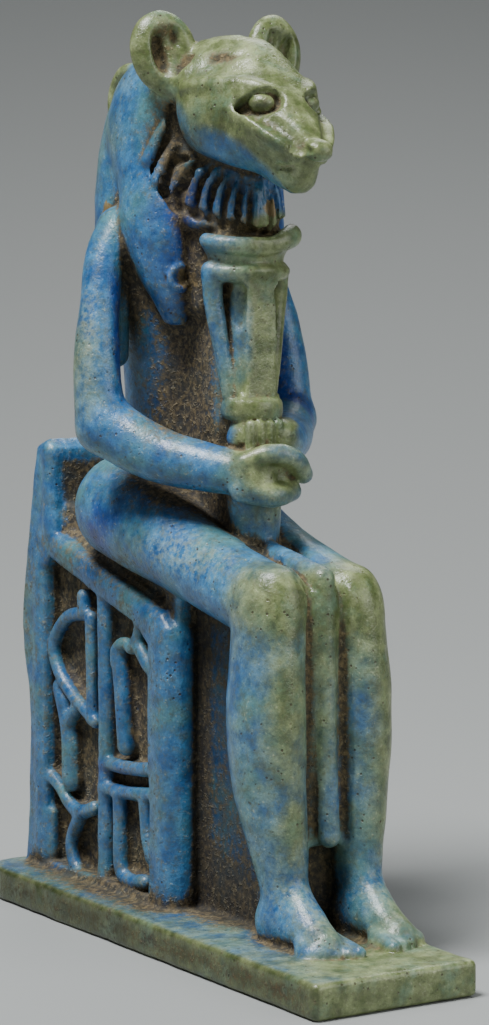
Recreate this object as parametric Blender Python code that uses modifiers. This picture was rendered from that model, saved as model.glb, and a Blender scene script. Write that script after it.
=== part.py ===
"""Seated lioness-headed goddess on a throne: a small amulet, moulded in one piece with its plinth.

Metres, +Z up. The figure looks along -Y and its right side is -X. The origin is on the underside of
the plinth, below the middle plane of the figure.
"""
import math

import bmesh
import bpy
from mathutils import Euler, Matrix, Vector

# Driving dimensions, in metres.
FIGURE_HEIGHT = 0.0625          # top of the plinth to the tips of the ears
PLINTH_WIDTH = 0.0130
PLINTH_FRONT = 0.0211           # figure's axis to the front edge
PLINTH_BACK = 0.0246            # figure's axis to the back edge
PLINTH_THICKNESS = 0.0025
PLINTH_SHIFT = 0.0016           # the plinth runs out further on the figure's right
PLINTH_ROUNDING = 0.0005
PLINTH_CORNER = 0.0009          # radius of the upright corners
THRONE_WIDTH = 0.0100
PANEL_DEPTH = 0.0013            # openings of the side panels
RELIEF_DEPTH = 0.0003           # how far the panel's bars lie below the frame
FRAME_RISE = 0.0002             # how far the frame's round posts stand out of the sides
SEAT_INSET = 0.0010
BAR_RADIUS = 0.00058
LOOP_HOLE_RADIUS = 0.00170
LOOP_WIRE_RADIUS = 0.00068

# Fineness of the moulded skin.
SKIN_VOXEL = 0.00024
SKIN_SMOOTHING = 3
SKIN_TRIANGLES = 9700
CARVED_SHARE = 0.35             # faces kept of a carved form's skin
HEAD_WEIGHT = 0.5               # the head's faces are merged less readily than the body's, by this much
MERGING_COST = 0.000006

RUFF_LOCKS = 8                  # on each side of the jaw

# The figure's forms are given in units of a 62.5th of its height above the plinth.
UNIT = FIGURE_HEIGHT / 62.5
THRONE_HALF = THRONE_WIDTH / 2
SIDES = (-1, 1)


def at(x, y, z):
    """A point of the figure: x to its left, y to its back, z above the plinth, in figure units."""
    return Vector((x * UNIT, y * UNIT, PLINTH_THICKNESS + z * UNIT))


def fresh_scene():
    for obj in list(bpy.data.objects):
        bpy.data.objects.remove(obj, do_unlink=True)


def collection(name):
    found = bpy.data.collections.get(name) or bpy.data.collections.new(name)
    if name not in bpy.context.scene.collection.children:
        bpy.context.scene.collection.children.link(found)
    return found


def ball(form, centre, radii, turn=(0, 0, 0), segments=24):
    """Ellipsoid: centre and radii in figure units, turned by degrees about X, Y and Z."""
    spin = Euler([math.radians(a) for a in turn]).to_matrix().to_4x4()
    size = Matrix.Diagonal((*[r * UNIT for r in radii], 1))
    matrix = Matrix.Translation(at(*centre)) @ spin @ size
    bmesh.ops.create_uvsphere(form, u_segments=segments, v_segments=segments // 2, radius=1, matrix=matrix)


def rod(form, start, end, start_radius, end_radius, segments=18):
    """Tapered round bar between two points in metres, with a ball at each end."""
    along = end - start
    if along.length > 1e-7:
        place = Matrix.Translation((start + end) / 2) @ along.to_track_quat("Z", "Y").to_matrix().to_4x4()
        bmesh.ops.create_cone(form, cap_ends=True, segments=segments, radius1=start_radius,
                              radius2=end_radius, depth=along.length, matrix=place)
    for centre, radius in ((start, start_radius), (end, end_radius)):
        bmesh.ops.create_uvsphere(form, u_segments=segments, v_segments=segments // 2, radius=radius,
                                  matrix=Matrix.Translation(centre))


def limb(form, points, radii):
    """Chain of tapered round bars through points in figure units."""
    places = [at(*p) for p in points]
    for i in range(len(places) - 1):
        rod(form, places[i], places[i + 1], radii[i] * UNIT, radii[i + 1] * UNIT)


def tube(form, points, width, depth, sections=24):
    """Upright loft in figure units through elliptic sections; width and depth are half sizes there."""
    rings = []
    for (x, y, z), rx, ry in zip(points, width, depth):
        turns = [2 * math.pi * i / sections for i in range(sections)]
        rings.append([form.verts.new(at(x + rx * math.cos(a), y + ry * math.sin(a), z)) for a in turns])
    for low, high in zip(rings, rings[1:]):
        for i in range(sections):
            j = (i + 1) % sections
            form.faces.new((low[i], low[j], high[j], high[i]))
    form.faces.new(list(reversed(rings[0])))
    form.faces.new(rings[-1])


def slab(form, centre, size, turn=(0, 0, 0)):
    """Box in figure units, turned by degrees about its centre."""
    spin = Euler([math.radians(a) for a in turn]).to_matrix().to_4x4()
    scale = Matrix.Diagonal((*[s * UNIT for s in size], 1))
    bmesh.ops.create_cube(form, size=1, matrix=Matrix.Translation(at(*centre)) @ spin @ scale)


def plate(form, outline, x_low, x_high):
    """Flat outline of (y, z) points in figure units, as thick as the metres from x_low to x_high."""
    data = bpy.data.curves.new("outline", "CURVE")
    data.dimensions = "2D"
    data.fill_mode = "BOTH"
    data.extrude = (x_high - x_low) / 2
    spline = data.splines.new("POLY")
    spline.points.add(len(outline) - 1)
    for point, (y, z) in zip(spline.points, outline):
        point.co = (y * UNIT, z * UNIT, 0, 1)
    spline.use_cyclic_u = True
    guide = bpy.data.objects.new("outline", data)
    bpy.context.scene.collection.objects.link(guide)
    mesh = bpy.data.meshes.new_from_object(guide.evaluated_get(bpy.context.evaluated_depsgraph_get()))
    upright = Matrix(((0, 0, 1), (1, 0, 0), (0, 1, 0))).to_4x4()
    mesh.transform(Matrix.Translation(((x_low + x_high) / 2, 0, PLINTH_THICKNESS)) @ upright)
    piece = bmesh.new()
    piece.from_mesh(mesh)
    bmesh.ops.remove_doubles(piece, verts=piece.verts, dist=1e-7)
    bmesh.ops.recalc_face_normals(piece, faces=piece.faces)
    piece.to_mesh(mesh)
    piece.free()
    form.from_mesh(mesh)
    bpy.data.objects.remove(guide)
    bpy.data.curves.remove(data)
    bpy.data.meshes.remove(mesh)


def to_object(form, name, home):
    mesh = bpy.data.meshes.new(name)
    form.to_mesh(mesh)
    form.free()
    obj = bpy.data.objects.new(name, mesh)
    home.objects.link(obj)
    return obj


def cutter(form, name):
    obj = to_object(form, name, collection("cutters"))
    obj.hide_render = True
    obj.display_type = "WIRE"
    return obj


def settle(obj):
    """Replace the mesh by what its modifiers make of it."""
    mesh = bpy.data.meshes.new_from_object(obj.evaluated_get(bpy.context.evaluated_depsgraph_get()))
    obj.modifiers.clear()
    obj.data = mesh


def add_boolean(obj, tool, operation):
    step = obj.modifiers.new(tool.name, "BOOLEAN")
    step.operation = operation
    step.solver = "EXACT"
    step.object = tool


def add_thinning(obj, share):
    step = obj.modifiers.new("thin", "DECIMATE")
    step.ratio = share
    return step


def add_skin(obj, smoothing):
    """One closed skin round everything that overlaps, with its edges softened as a glaze does."""
    skin = obj.modifiers.new("skin", "REMESH")
    skin.mode = "VOXEL"
    skin.voxel_size = SKIN_VOXEL
    soft = obj.modifiers.new("soft", "SMOOTH")
    soft.factor = 0.5
    soft.iterations = smoothing


def plinth(home):
    """Slab with rounded upright corners and softened upper edges, sunk below z = 0 for a flat cut."""
    sink = PLINTH_THICKNESS / 2
    length = PLINTH_FRONT + PLINTH_BACK
    height = PLINTH_THICKNESS + sink
    form = bmesh.new()
    centre = Vector((-PLINTH_SHIFT, (PLINTH_BACK - PLINTH_FRONT) / 2, height / 2 - sink))
    size = Matrix.Diagonal((PLINTH_WIDTH, length, height, 1))
    bmesh.ops.create_cube(form, size=1, matrix=Matrix.Translation(centre) @ size)
    upright = [e for e in form.edges if abs(e.verts[0].co.z - e.verts[1].co.z) > height / 2]
    bmesh.ops.bevel(form, geom=upright, offset=PLINTH_CORNER, segments=4, profile=0.5, affect="EDGES")
    top = [e for e in form.edges if min(v.co.z for v in e.verts) > PLINTH_THICKNESS - 1e-6]
    bmesh.ops.bevel(form, geom=top, offset=PLINTH_ROUNDING, segments=3, profile=0.5, affect="EDGES")
    return to_object(form, "plinth", home)


# Outlines of the throne in (y, z) figure units.
THRONE_OUTLINE = ((2.4, -0.6), (2.4, 19.8), (3.4, 20.9), (18.6, 25.2), (19.0, 31.2), (19.9, 32.1),
                  (21.3, 31.6), (22.3, 27.5), (23.7, 21.2), (24.0, 18.1), (23.7, 15.9), (22.7, 13.0),
                  (22.6, 9.9), (23.0, 4.5), (23.4, -0.6))
SEAT_OUTLINE = ((2.2, 18.0), (2.2, 22.4), (18.8, 27.4), (18.8, 20.0))
PANEL_OPENING = ((5.0, 0.5), (5.0, 18.6), (6.4, 19.7), (19.4, 23.4), (20.2, 22.6), (20.2, 0.5))
BAND_CHANNEL = ((4.2, 21.4), (18.2, 25.4), (18.2, 31.0), (12.0, 31.0), (4.2, 27.0))

# Frame of the side panel: two ends in (y, z) and a radius.
FRAME_POSTS = (
    ((3.4, 0.8), (3.4, 18.8), 1.6),
    ((21.2, 1.4), (21.2, 22.2), 0.95),
    ((4.0, 19.9), (18.6, 24.2), 0.85),
)

# Bars of the side panel: points in (y, z) and a thickness factor.
PANEL_BARS = (
    (((15.0, 19.5), (17.8, 18.9), (19.7, 17.1), (19.4, 15.3), (17.3, 13.7), (15.0, 12.7), (13.5, 11.9)), 1.0),
    (((13.9, 19.3), (13.9, 12.0)), 1.0),
    (((15.0, 21.4), (15.0, 19.5)), 1.0),
    (((12.0, 21.3), (12.0, 0.6)), 1.25),
    (((19.0, 13.4), (18.1, 12.2), (17.5, 10.0), (17.3, 6.8)), 1.5),
    (((16.0, 13.0), (17.3, 11.6)), 1.0),
    (((20.8, 7.0), (16.7, 4.9), (13.9, 5.3), (12.0, 5.2)), 1.0),
    (((15.3, 4.6), (17.0, 2.0), (16.6, 0.6), (15.0, 0.2)), 1.0),
    (((20.2, 4.4), (20.3, 0.6)), 1.2),
    (((10.2, 16.9), (9.4, 17.9), (8.2, 17.9), (7.4, 18.7), (6.7, 19.9)), 1.0),
    (((7.4, 18.7), (5.2, 16.9)), 1.2),
    (((9.9, 17.2), (9.3, 14.0), (9.0, 10.4)), 1.3),
    (((12.0, 9.0), (5.0, 9.2)), 1.1),
    (((12.0, 7.2), (5.0, 7.5)), 1.1),
    (((10.0, 7.0), (9.9, 1.4), (8.4, 0.9), (6.2, 1.3)), 1.1),
    (((6.3, 7.2), (5.6, 3.4)), 1.1),
)


def throne(home):
    """Block throne with a low back, and on each side a framed panel of bars and openings."""
    form = bmesh.new()
    plate(form, THRONE_OUTLINE, -THRONE_HALF, THRONE_HALF)
    obj = to_object(form, "throne", home)
    openings = bmesh.new()
    margin = PANEL_DEPTH
    for side in SIDES:
        inner, outer = side * (THRONE_HALF - PANEL_DEPTH), side * (THRONE_HALF + margin)
        plate(openings, PANEL_OPENING, min(inner, outer), max(inner, outer))
    add_boolean(obj, cutter(openings, "panel_openings"), "DIFFERENCE")
    channels = bmesh.new()
    for side in SIDES:
        inner, outer = side * (THRONE_HALF - PANEL_DEPTH), side * (THRONE_HALF + margin)
        plate(channels, BAND_CHANNEL, min(inner, outer), max(inner, outer))
    add_boolean(obj, cutter(channels, "band_channels"), "DIFFERENCE")
    settle(obj)
    return obj


def throne_bars(form):
    for side in SIDES:
        for points, thickness in PANEL_BARS:
            radius = BAR_RADIUS * thickness
            x = side * (THRONE_HALF - RELIEF_DEPTH - radius)
            places = [Vector((x, y * UNIT, PLINTH_THICKNESS + z * UNIT)) for y, z in points]
            for start, end in zip(places, places[1:]):
                rod(form, start, end, radius, radius, segments=10)
    for side in SIDES:
        for (y0, z0), (y1, z1), radius in FRAME_POSTS:
            x = side * (THRONE_HALF + FRAME_RISE - radius * UNIT)
            ends = [Vector((x, y * UNIT, PLINTH_THICKNESS + z * UNIT)) for y, z in ((y0, z0), (y1, z1))]
            rod(form, ends[0], ends[1], radius * UNIT, radius * UNIT)


def seat(form):
    """Fill under the thighs, set in from the sides of the throne."""
    half = THRONE_HALF - SEAT_INSET
    plate(form, SEAT_OUTLINE, -half, half)


def legs(form):
    """Shins in a tight skirt with a ridge between two folds, and a web back to the throne."""
    for side in SIDES:
        tube(form, [(side * x, y, z) for x, y, z in
                    ((3.0, -9.7, 0.2), (3.0, -9.6, 3.2), (3.15, -9.1, 6.5), (3.4, -8.5, 10.5),
                     (3.5, -8.3, 14.5), (3.35, -8.2, 19.5), (3.1, -8.1, 22.6), (3.0, -8.0, 24.2))],
             (1.6, 1.6, 1.95, 2.4, 2.55, 2.35, 2.35, 1.6), (2.0, 2.0, 2.45, 3.0, 3.2, 3.1, 2.9, 2.1))
        ball(form, (side * 3.05, -8.0, 22.5), (2.35, 2.9, 2.6))
    slab(form, (0, -7.7, 14.9), (4.8, 5.2, 17.2), (1.2, 0, 0))
    limb(form, ((0, -9.9, 24.2), (0, -10.3, 15.0), (0, -10.6, 6.9)), (0.85, 0.75, 0.75))
    slab(form, (0, -2.4, 11.0), (4.6, 10.6, 23.0))


def feet(form):
    for side in SIDES:
        limb(form, ((side * 3.0, -9.0, 1.2), (side * 3.0, -12.2, 1.1), (side * 2.95, -14.8, 0.6)),
             (1.75, 1.5, 1.25))
        ball(form, (side * 3.0, -10.6, 2.0), (1.55, 2.6, 2.0), (22, 0, 0))
        for toe in range(5):
            spread = 1.55 - 0.78 * toe
            reach = -15.9 + (0.18 * toe) * toe * 0.55
            limb(form, ((side * (3.0 - spread * 0.75), -13.2, 0.8), (side * (3.0 - spread), reach, 0.2)),
                 (0.62, 0.62 - 0.03 * toe))


def lap(form):
    """Thighs from the hips to the knees, closed between by the skirt."""
    for side in SIDES:
        limb(form, ((side * 3.0, 11.2, 27.6), (side * 3.1, 7.0, 26.4), (side * 3.0, 1.0, 24.5),
                    (side * 2.95, -4.0, 23.2), (side * 3.0, -7.8, 22.4)), (3.7, 3.4, 2.9, 2.7, 2.6))
    slab(form, (0, 0.5, 23.7), (4.2, 20.0, 4.4), (13, 0, 0))
    limb(form, ((0, -2.4, 25.7), (0, -9.4, 24.3)), (0.75, 0.8))


def torso(form):
    tube(form, ((0, 9.6, 25.0), (0, 9.4, 29.0), (0, 8.8, 33.0), (0, 8.6, 38.0), (0, 8.4, 42.0),
                (0, 8.6, 45.5), (0, 8.8, 48.0)),
         (5.2, 4.4, 3.6, 3.9, 4.6, 5.0, 4.4), (5.4, 5.4, 4.7, 4.6, 4.6, 4.6, 4.2))


def arms(form):
    """Arms bent at the elbow; the right fist closes below the left hand, in front of the sceptre."""
    for side in SIDES:
        limb(form, ((side * 4.8, 8.7, 47.1), (side * 6.3, 8.3, 45.6), (side * 7.2, 7.6, 42.6),
                    (side * 7.75, 7.1, 39.4), (side * 7.9, 6.7, 36.0), (side * 7.6, 6.2, 33.9)),
             (1.9, 1.5, 1.45, 1.6, 1.8, 2.05))
        limb(form, ((side * 5.4, 8.4, 45.0), (side * 5.7, 8.2, 39.0)), (1.1, 1.0))
    limb(form, ((-7.6, 6.2, 33.9), (-5.5, 3.0, 32.1), (-3.2, -0.6, 31.2), (-1.6, -2.6, 30.9)),
         (2.1, 2.0, 1.8, 1.65))
    limb(form, ((7.6, 6.2, 33.9), (5.5, 3.0, 33.0), (3.2, -0.4, 32.9), (1.6, -1.9, 33.2)),
         (2.1, 1.9, 1.65, 1.5))
    ball(form, (-0.6, -2.9, 30.7), (2.5, 1.75, 1.9), (0, 6, 0))
    limb(form, ((-2.3, -3.5, 31.7), (-0.6, -4.5, 32.3), (1.1, -4.6, 31.8), (2.3, -4.0, 30.8)),
         (0.7, 0.75, 0.8, 0.7))
    limb(form, ((-2.4, -3.4, 29.8), (-0.5, -4.4, 29.5), (1.2, -4.2, 29.7)), (0.8, 0.85, 0.7))
    ball(form, (0.1, -1.5, 33.3), (2.35, 1.5, 1.4))
    for finger in range(4):
        x = -1.3 + 0.75 * finger
        limb(form, ((x, -2.8, 32.7), (x, -2.8, 33.7)), (0.45, 0.42))


def sceptre(form):
    """Upright column with side volutes, two rings and a flaring head, webbed to the chest."""
    slab(form, (0, -0.6, 39.3), (3.1, 3.5, 11.6))
    slab(form, (0, 2.9, 38.5), (4.0, 5.4, 14.0))
    for side in SIDES:
        limb(form, ((side * 1.7, -0.7, 36.2), (side * 2.15, -0.4, 39.5), (side * 2.6, -0.1, 42.6),
                    (side * 2.7, -0.1, 44.6)), (0.55, 0.6, 0.75, 0.8))
    tube(form, ((0, -1.0, 34.7), (0, -1.0, 35.0), (0, -1.0, 35.9), (0, -1.0, 36.2)),
         (1.7, 2.5, 2.5, 1.7), (1.5, 2.3, 2.3, 1.5))
    tube(form, ((0, -0.2, 43.7), (0, -0.2, 44.3), (0, -0.2, 44.9), (0, -0.2, 45.4), (0, -0.2, 46.3),
                (0, -0.2, 47.2)), (2.7, 3.3, 3.3, 2.75, 3.1, 3.3), (2.0, 2.6, 2.6, 2.1, 2.6, 2.8))
    limb(form, ((0.0, -2.4, 46.2), (1.5, -2.3, 46.7), (2.7, -1.6, 47.1), (3.2, -0.6, 47.0)),
         (0.5, 0.75, 0.85, 0.65))
    limb(form, ((-3.2, -0.2, 46.8), (-2.4, -1.7, 46.5), (-0.6, -2.4, 46.2)), (0.5, 0.55, 0.5))
    tube(form, ((-0.1, -1.5, 25.0), (-0.1, -1.5, 27.5), (-0.3, -1.5, 30.6)),
         (1.6, 1.85, 2.3), (1.8, 1.95, 2.0))
    slab(form, (0, 2.7, 29.5), (2.6, 8.6, 10.0))


def wig(form):
    """Heavy hair behind the shoulders, and two lappets on the chest."""
    tube(form, ((0, 10.2, 41.5), (0, 10.7, 45.0), (0, 10.9, 49.0), (0, 10.5, 52.5), (0, 9.4, 56.0),
                (0, 7.8, 58.4), (0, 6.0, 60.0)),
         (3.4, 4.8, 4.9, 4.75, 4.5, 3.9, 2.7), (3.4, 4.9, 5.1, 5.3, 5.2, 4.5, 3.2))
    ball(form, (0, 5.6, 51.0), (4.6, 5.0, 5.0))
    for side in SIDES:
        ball(form, (side * 3.1, 7.0, 55.0), (2.6, 4.3, 4.5))
        ball(form, (side * 3.4, 3.2, 57.6), (1.5, 3.0, 1.7))
        tube(form, [(side * x, y, z) for x, y, z in
                    ((3.15, 4.0, 40.9), (3.4, 4.1, 42.6), (3.7, 4.7, 44.6), (4.0, 5.4, 47.4),
                     (3.9, 6.0, 50.5), (3.7, 7.2, 53.5), (3.4, 7.8, 56.0))],
             (0.8, 1.45, 1.85, 2.15, 2.0, 1.8, 1.5), (0.9, 1.6, 2.35, 3.0, 3.2, 3.1, 2.6))
        ball(form, (side * 3.75, 2.4, 44.3), (0.65, 0.55, 0.65))


def ruff(form):
    """Collar of fur under the jaw, in locks that climb towards the ears."""
    tube(form, ((0, 2.6, 47.5), (0, 2.6, 48.2), (0, 2.7, 50.0), (0, 3.0, 52.0), (0, 3.4, 53.6)),
         (3.35, 3.6, 3.5, 3.5, 3.4), (4.2, 4.45, 4.4, 4.5, 4.3))
    for side in SIDES:
        for lock in range(RUFF_LOCKS):
            share = lock / (RUFF_LOCKS - 1)
            turn = math.radians(6 + 88 * share)
            x = (3.55 + 0.7 * share) * math.sin(turn)
            y = 2.65 - 4.6 * math.cos(turn)
            top = (side * x, y, 50.8 + 4.5 * share ** 2.6)
            low = (side * (x + 0.3 * share), y + 1.7 * share ** 1.5, 47.7 + 4.5 * share ** 2.9)
            limb(form, (top, low), (0.44, 0.52))


# Level sections of the head: height, then middle (y), half width and half depth.
SKULL_LEVELS = ((51.8, -0.9, 2.6, 3.0), (52.9, 0.9, 3.8, 4.6), (54.5, 1.6, 4.4, 5.2), (56.5, 1.7, 4.5, 5.5),
                (57.5, 1.7, 4.35, 5.4), (58.3, 1.8, 3.95, 5.0), (59.3, 2.0, 3.4, 4.4), (60.0, 2.2, 2.8, 3.7),
                (60.5, 2.4, 2.0, 2.7), (60.75, 2.4, 1.0, 1.4))
MUZZLE_LEVELS = ((50.0, -6.8, 0.5, 0.5), (50.4, -6.6, 1.05, 1.15), (50.8, -6.25, 1.35, 1.75),
                 (51.8, -5.6, 2.1, 2.9), (52.9, -4.95, 2.95, 3.8), (53.6, -4.4, 3.2, 4.2),
                 (54.5, -3.8, 3.55, 4.2), (55.5, -3.3, 3.8, 3.8), (56.5, -2.9, 3.8, 3.4),
                 (57.5, -2.4, 3.6, 2.95), (58.3, -1.5, 3.2, 3.0), (59.3, -0.6, 2.6, 2.85),
                 (60.0, 0.0, 1.9, 2.55), (60.5, 0.4, 1.1, 1.7))


def head(form):
    """Lioness head: flat skull, straight steep bridge, brow ridges, muzzle folds and small chin."""
    for levels in (SKULL_LEVELS, MUZZLE_LEVELS):
        tube(form, [(0, y, z) for z, y, _, _ in levels], [w for _, _, w, _ in levels],
             [d for _, _, _, d in levels], sections=32)
    ball(form, (0, -9.15, 52.8), (1.1, 1.0, 0.8), (12, 0, 0))
    limb(form, ((0, -4.7, 57.2), (0, -6.3, 55.6), (0, -7.8, 53.8)), (0.95, 1.0, 1.0))
    for side in SIDES:
        limb(form, ((side * 4.0, 0.5, 57.2), (side * 3.45, -1.6, 57.4), (side * 2.65, -3.6, 57.4),
                    (side * 1.8, -4.8, 57.1)), (0.65, 0.78, 0.8, 0.65))
        limb(form, ((side * 2.9, -4.9, 54.9), (side * 2.5, -5.9, 54.3), (side * 2.0, -7.0, 53.6),
                    (side * 1.4, -7.9, 52.9), (side * 0.85, -8.0, 51.9)), (0.6, 0.72, 0.75, 0.7, 0.55))
        ear(form, side)


def ear(form, side):
    """Thick round disc facing forward and a little outward."""
    ball(form, (side * 4.5, 3.3, 59.6), (2.45, 1.15, 2.95), (-6, side * 12, side * 10))


def eyes(form):
    for side in SIDES:
        ball(form, (side * 2.3, -5.3, 56.0), (0.85, 0.75, 0.6), (0, 0, side * 42))


def loop(form):
    """Suspension loop behind the head, its hole running from side to side."""
    ring = LOOP_HOLE_RADIUS + LOOP_WIRE_RADIUS
    centre = at(0, 15.2, 56.7)
    steps = 20
    places = []
    for i in range(steps):
        a = 2 * math.pi * i / steps
        places.append(centre + Vector((0, ring * math.cos(a), ring * math.sin(a))))
    for i in range(steps):
        rod(form, places[i], places[(i + 1) % steps], LOOP_WIRE_RADIUS, LOOP_WIRE_RADIUS, segments=12)


def head_carving(form):
    """Sockets of the eyes, valleys beside the nose, nostrils, mouth and the hollows of the ears."""
    for side in SIDES:
        limb(form, ((side * 3.6, -4.2, 55.7), (side * 3.0, -5.25, 55.85), (side * 2.1, -6.1, 56.15),
                    (side * 1.45, -6.7, 56.4)), (0.4, 0.95, 1.0, 0.5))
        limb(form, ((side * 2.9, -6.2, 55.0), (side * 2.3, -7.25, 54.4), (side * 1.75, -8.15, 53.8),
                    (side * 1.4, -8.8, 53.3)), (0.5, 0.75, 0.7, 0.45))
        limb(form, ((side * 1.25, -9.1, 52.95), (side * 0.95, -9.8, 52.7)), (0.26, 0.22))
        limb(form, ((side * 0.15, -8.8, 51.9), (side * 1.0, -8.4, 51.6), (side * 1.7, -7.5, 51.5),
                    (side * 1.95, -6.5, 51.6)), (0.24, 0.24, 0.22, 0.2))
        turn = (-6, side * 12, side * 10)
        ball(form, (side * 4.55, 1.95, 59.95), (1.6, 0.75, 2.0), turn)
        ball(form, (side * 5.25, 2.35, 59.6), (0.65, 0.95, 1.6), turn)


def sceptre_carving(form):
    """Slots between the column and its side volutes."""
    for side in SIDES:
        limb(form, ((side * 1.85, -1.75, 43.4), (side * 1.85, -1.6, 41.4)), (0.6, 0.55))
        limb(form, ((side * 1.75, -1.95, 41.4), (side * 1.6, -2.0, 36.6)), (0.42, 0.32))


def carved(shape, cuts, name, home):
    """A form closed into one skin, with its carving cut in."""
    form = bmesh.new()
    shape(form)
    bmesh.ops.recalc_face_normals(form, faces=form.faces)
    obj = to_object(form, name, home)
    add_skin(obj, SKIN_SMOOTHING)
    add_thinning(obj, CARVED_SHARE)
    settle(obj)
    carving = bmesh.new()
    cuts(carving)
    tool = cutter(carving, name + "_carving")
    add_skin(tool, 1)
    add_thinning(tool, CARVED_SHARE)
    settle(tool)
    add_boolean(obj, tool, "DIFFERENCE")
    settle(obj)
    return obj


def faience(name):
    glaze = bpy.data.materials.new(name)
    glaze.use_nodes = True
    shader = glaze.node_tree.nodes["Principled BSDF"]
    shader.inputs["Base Color"].default_value = (0.075, 0.21, 0.33, 1)
    shader.inputs["Roughness"].default_value = 0.42
    shader.inputs["Metallic"].default_value = 0
    return glaze


def underside_cutter():
    """Block below z = 0 that leaves the underside flat."""
    length = PLINTH_FRONT + PLINTH_BACK
    form = bmesh.new()
    size = Matrix.Diagonal((PLINTH_WIDTH * 3, length * 2, PLINTH_THICKNESS * 4, 1))
    bmesh.ops.create_cube(form, size=1, matrix=Matrix.Translation((0, 0, -PLINTH_THICKNESS * 2)) @ size)
    return cutter(form, "underside_cut")


def build():
    fresh_scene()
    home = collection("bastet_figurine_parts")
    form = bmesh.new()
    for carve in (legs, feet, lap, torso, arms, wig, ruff, eyes, loop, throne_bars, seat):
        carve(form)
    bmesh.ops.recalc_face_normals(form, faces=form.faces)
    blocks = (plinth(home), throne(home), carved(head, head_carving, "head", home),
              carved(sceptre, sceptre_carving, "sceptre", home))
    for block in blocks:
        form.from_mesh(block.data)
        bpy.data.objects.remove(block)
    figure = to_object(form, "bastet_figurine", home)
    add_skin(figure, SKIN_SMOOTHING)
    settle(figure)
    merging = figure.vertex_groups.new(name="merging")
    neck = at(0, 0, 47.5).z
    merging.add([v.index for v in figure.data.vertices if v.co.z > neck], HEAD_WEIGHT, "REPLACE")
    merging.add([v.index for v in figure.data.vertices if v.co.z <= neck], 1, "REPLACE")
    figure.data.calc_loop_triangles()
    thin = add_thinning(figure, SKIN_TRIANGLES / len(figure.data.loop_triangles))
    thin.vertex_group = merging.name
    thin.vertex_group_factor = MERGING_COST
    settle(figure)
    figure.vertex_groups.clear()
    add_boolean(figure, underside_cutter(), "DIFFERENCE")
    settle(figure)
    figure.data.materials.clear()
    figure.data.materials.append(faience("faience"))
    figure.data.shade_smooth()


build()
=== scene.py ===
"""Seated lioness-headed goddess: a faience amulet, its carving modelled like clay and glazed."""

import math

import bpy
import numpy as np
from mathutils import Euler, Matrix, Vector


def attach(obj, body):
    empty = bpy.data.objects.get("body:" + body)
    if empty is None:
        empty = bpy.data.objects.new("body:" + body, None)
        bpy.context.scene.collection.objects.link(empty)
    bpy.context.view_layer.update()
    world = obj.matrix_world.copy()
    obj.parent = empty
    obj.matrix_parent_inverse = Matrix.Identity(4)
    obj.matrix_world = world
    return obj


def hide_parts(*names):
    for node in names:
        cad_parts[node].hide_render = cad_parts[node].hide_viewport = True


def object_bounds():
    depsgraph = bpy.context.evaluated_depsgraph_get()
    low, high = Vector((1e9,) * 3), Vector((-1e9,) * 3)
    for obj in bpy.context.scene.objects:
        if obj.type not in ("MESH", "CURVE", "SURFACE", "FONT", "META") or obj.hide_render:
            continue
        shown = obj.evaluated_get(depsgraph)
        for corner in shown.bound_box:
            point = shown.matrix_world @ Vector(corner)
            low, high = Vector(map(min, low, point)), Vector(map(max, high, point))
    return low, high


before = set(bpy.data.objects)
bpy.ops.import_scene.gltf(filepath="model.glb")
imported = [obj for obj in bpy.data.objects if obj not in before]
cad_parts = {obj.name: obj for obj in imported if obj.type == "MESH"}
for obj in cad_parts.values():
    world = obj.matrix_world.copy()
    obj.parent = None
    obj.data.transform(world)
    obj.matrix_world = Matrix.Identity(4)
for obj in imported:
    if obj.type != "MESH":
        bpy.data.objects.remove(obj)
CAD_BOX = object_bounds()

# Sizes in metres, as in the solid.
FIGURE_HEIGHT = 0.0625
FIGURE_UNITS = 62.5
UNIT = FIGURE_HEIGHT / FIGURE_UNITS
NODE = "bastet_figurine"

# Everything below is in figure units (about a millimetre), with z measured from the plinth's top.
PLINTH_LOW = (-8.1, -21.1, -2.5)
PLINTH_HIGH = (4.9, 24.6, 0.0)
PLINTH_BACK_CORNER = 2.8
THRONE_HALF = 5.0
PANEL_DEPTH = 1.55
SIDES = (-1, 1)

# The clay: size of its cells, triangles of the finished mesh, and the value of empty space.
STEP = 0.18
MOST_TRIANGLES = 190000
FAR = 9.0
MELT_MARGIN = 0.6
JUST_INSIDE = 1.001
SETTLE_ROUNDS, SETTLE_STRIDE = 12, 0.4

# Steps from point to point of a smooth curve, and room round a form whose curve swings out.
LIMB_PIECES, LOFT_PIECES, TOOL_PIECES, RING_PIECES = 4, 6, 5, 4
LEAST_RADIUS = 0.05
LOFT_MARGIN, STACK_MARGIN = 0.5, 0.3
TINY = 1e-6


def rotation(turn):
    return np.array(Euler([math.radians(a) for a in turn]).to_matrix())


def melt(a, b, blend):
    """The smaller of two distances, with the crease between them filled over the width of the blend."""
    if blend <= 0:
        return np.minimum(a, b)
    share = np.clip(0.5 + 0.5 * (b - a) / blend, 0, 1)
    return b + (a - b) * share - blend * share * (1 - share)


def ease(value, low, high):
    """0 below low, 1 above high, and a soft step between."""
    t = np.clip((value - low) / (high - low), 0, 1)
    return t * t * (3 - 2 * t)


# Shapes: lowest corner, highest corner, and the distance from the surface at x, y, z.
def egg(centre, radii, turn=(0, 0, 0)):
    c, r, m = np.array(centre, float), np.array(radii, float), rotation(turn)

    def distance(x, y, z):
        p = (x - c[0], y - c[1], z - c[2])
        q = [(m[0, i] * p[0] + m[1, i] * p[1] + m[2, i] * p[2]) / r[i] for i in range(3)]
        near = np.sqrt(q[0] ** 2 + q[1] ** 2 + q[2] ** 2)
        slope = np.sqrt((q[0] / r[0]) ** 2 + (q[1] / r[1]) ** 2 + (q[2] / r[2]) ** 2)
        return near * (near - 1) / np.maximum(slope, TINY)

    return c - r.max(), c + r.max(), distance


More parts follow.
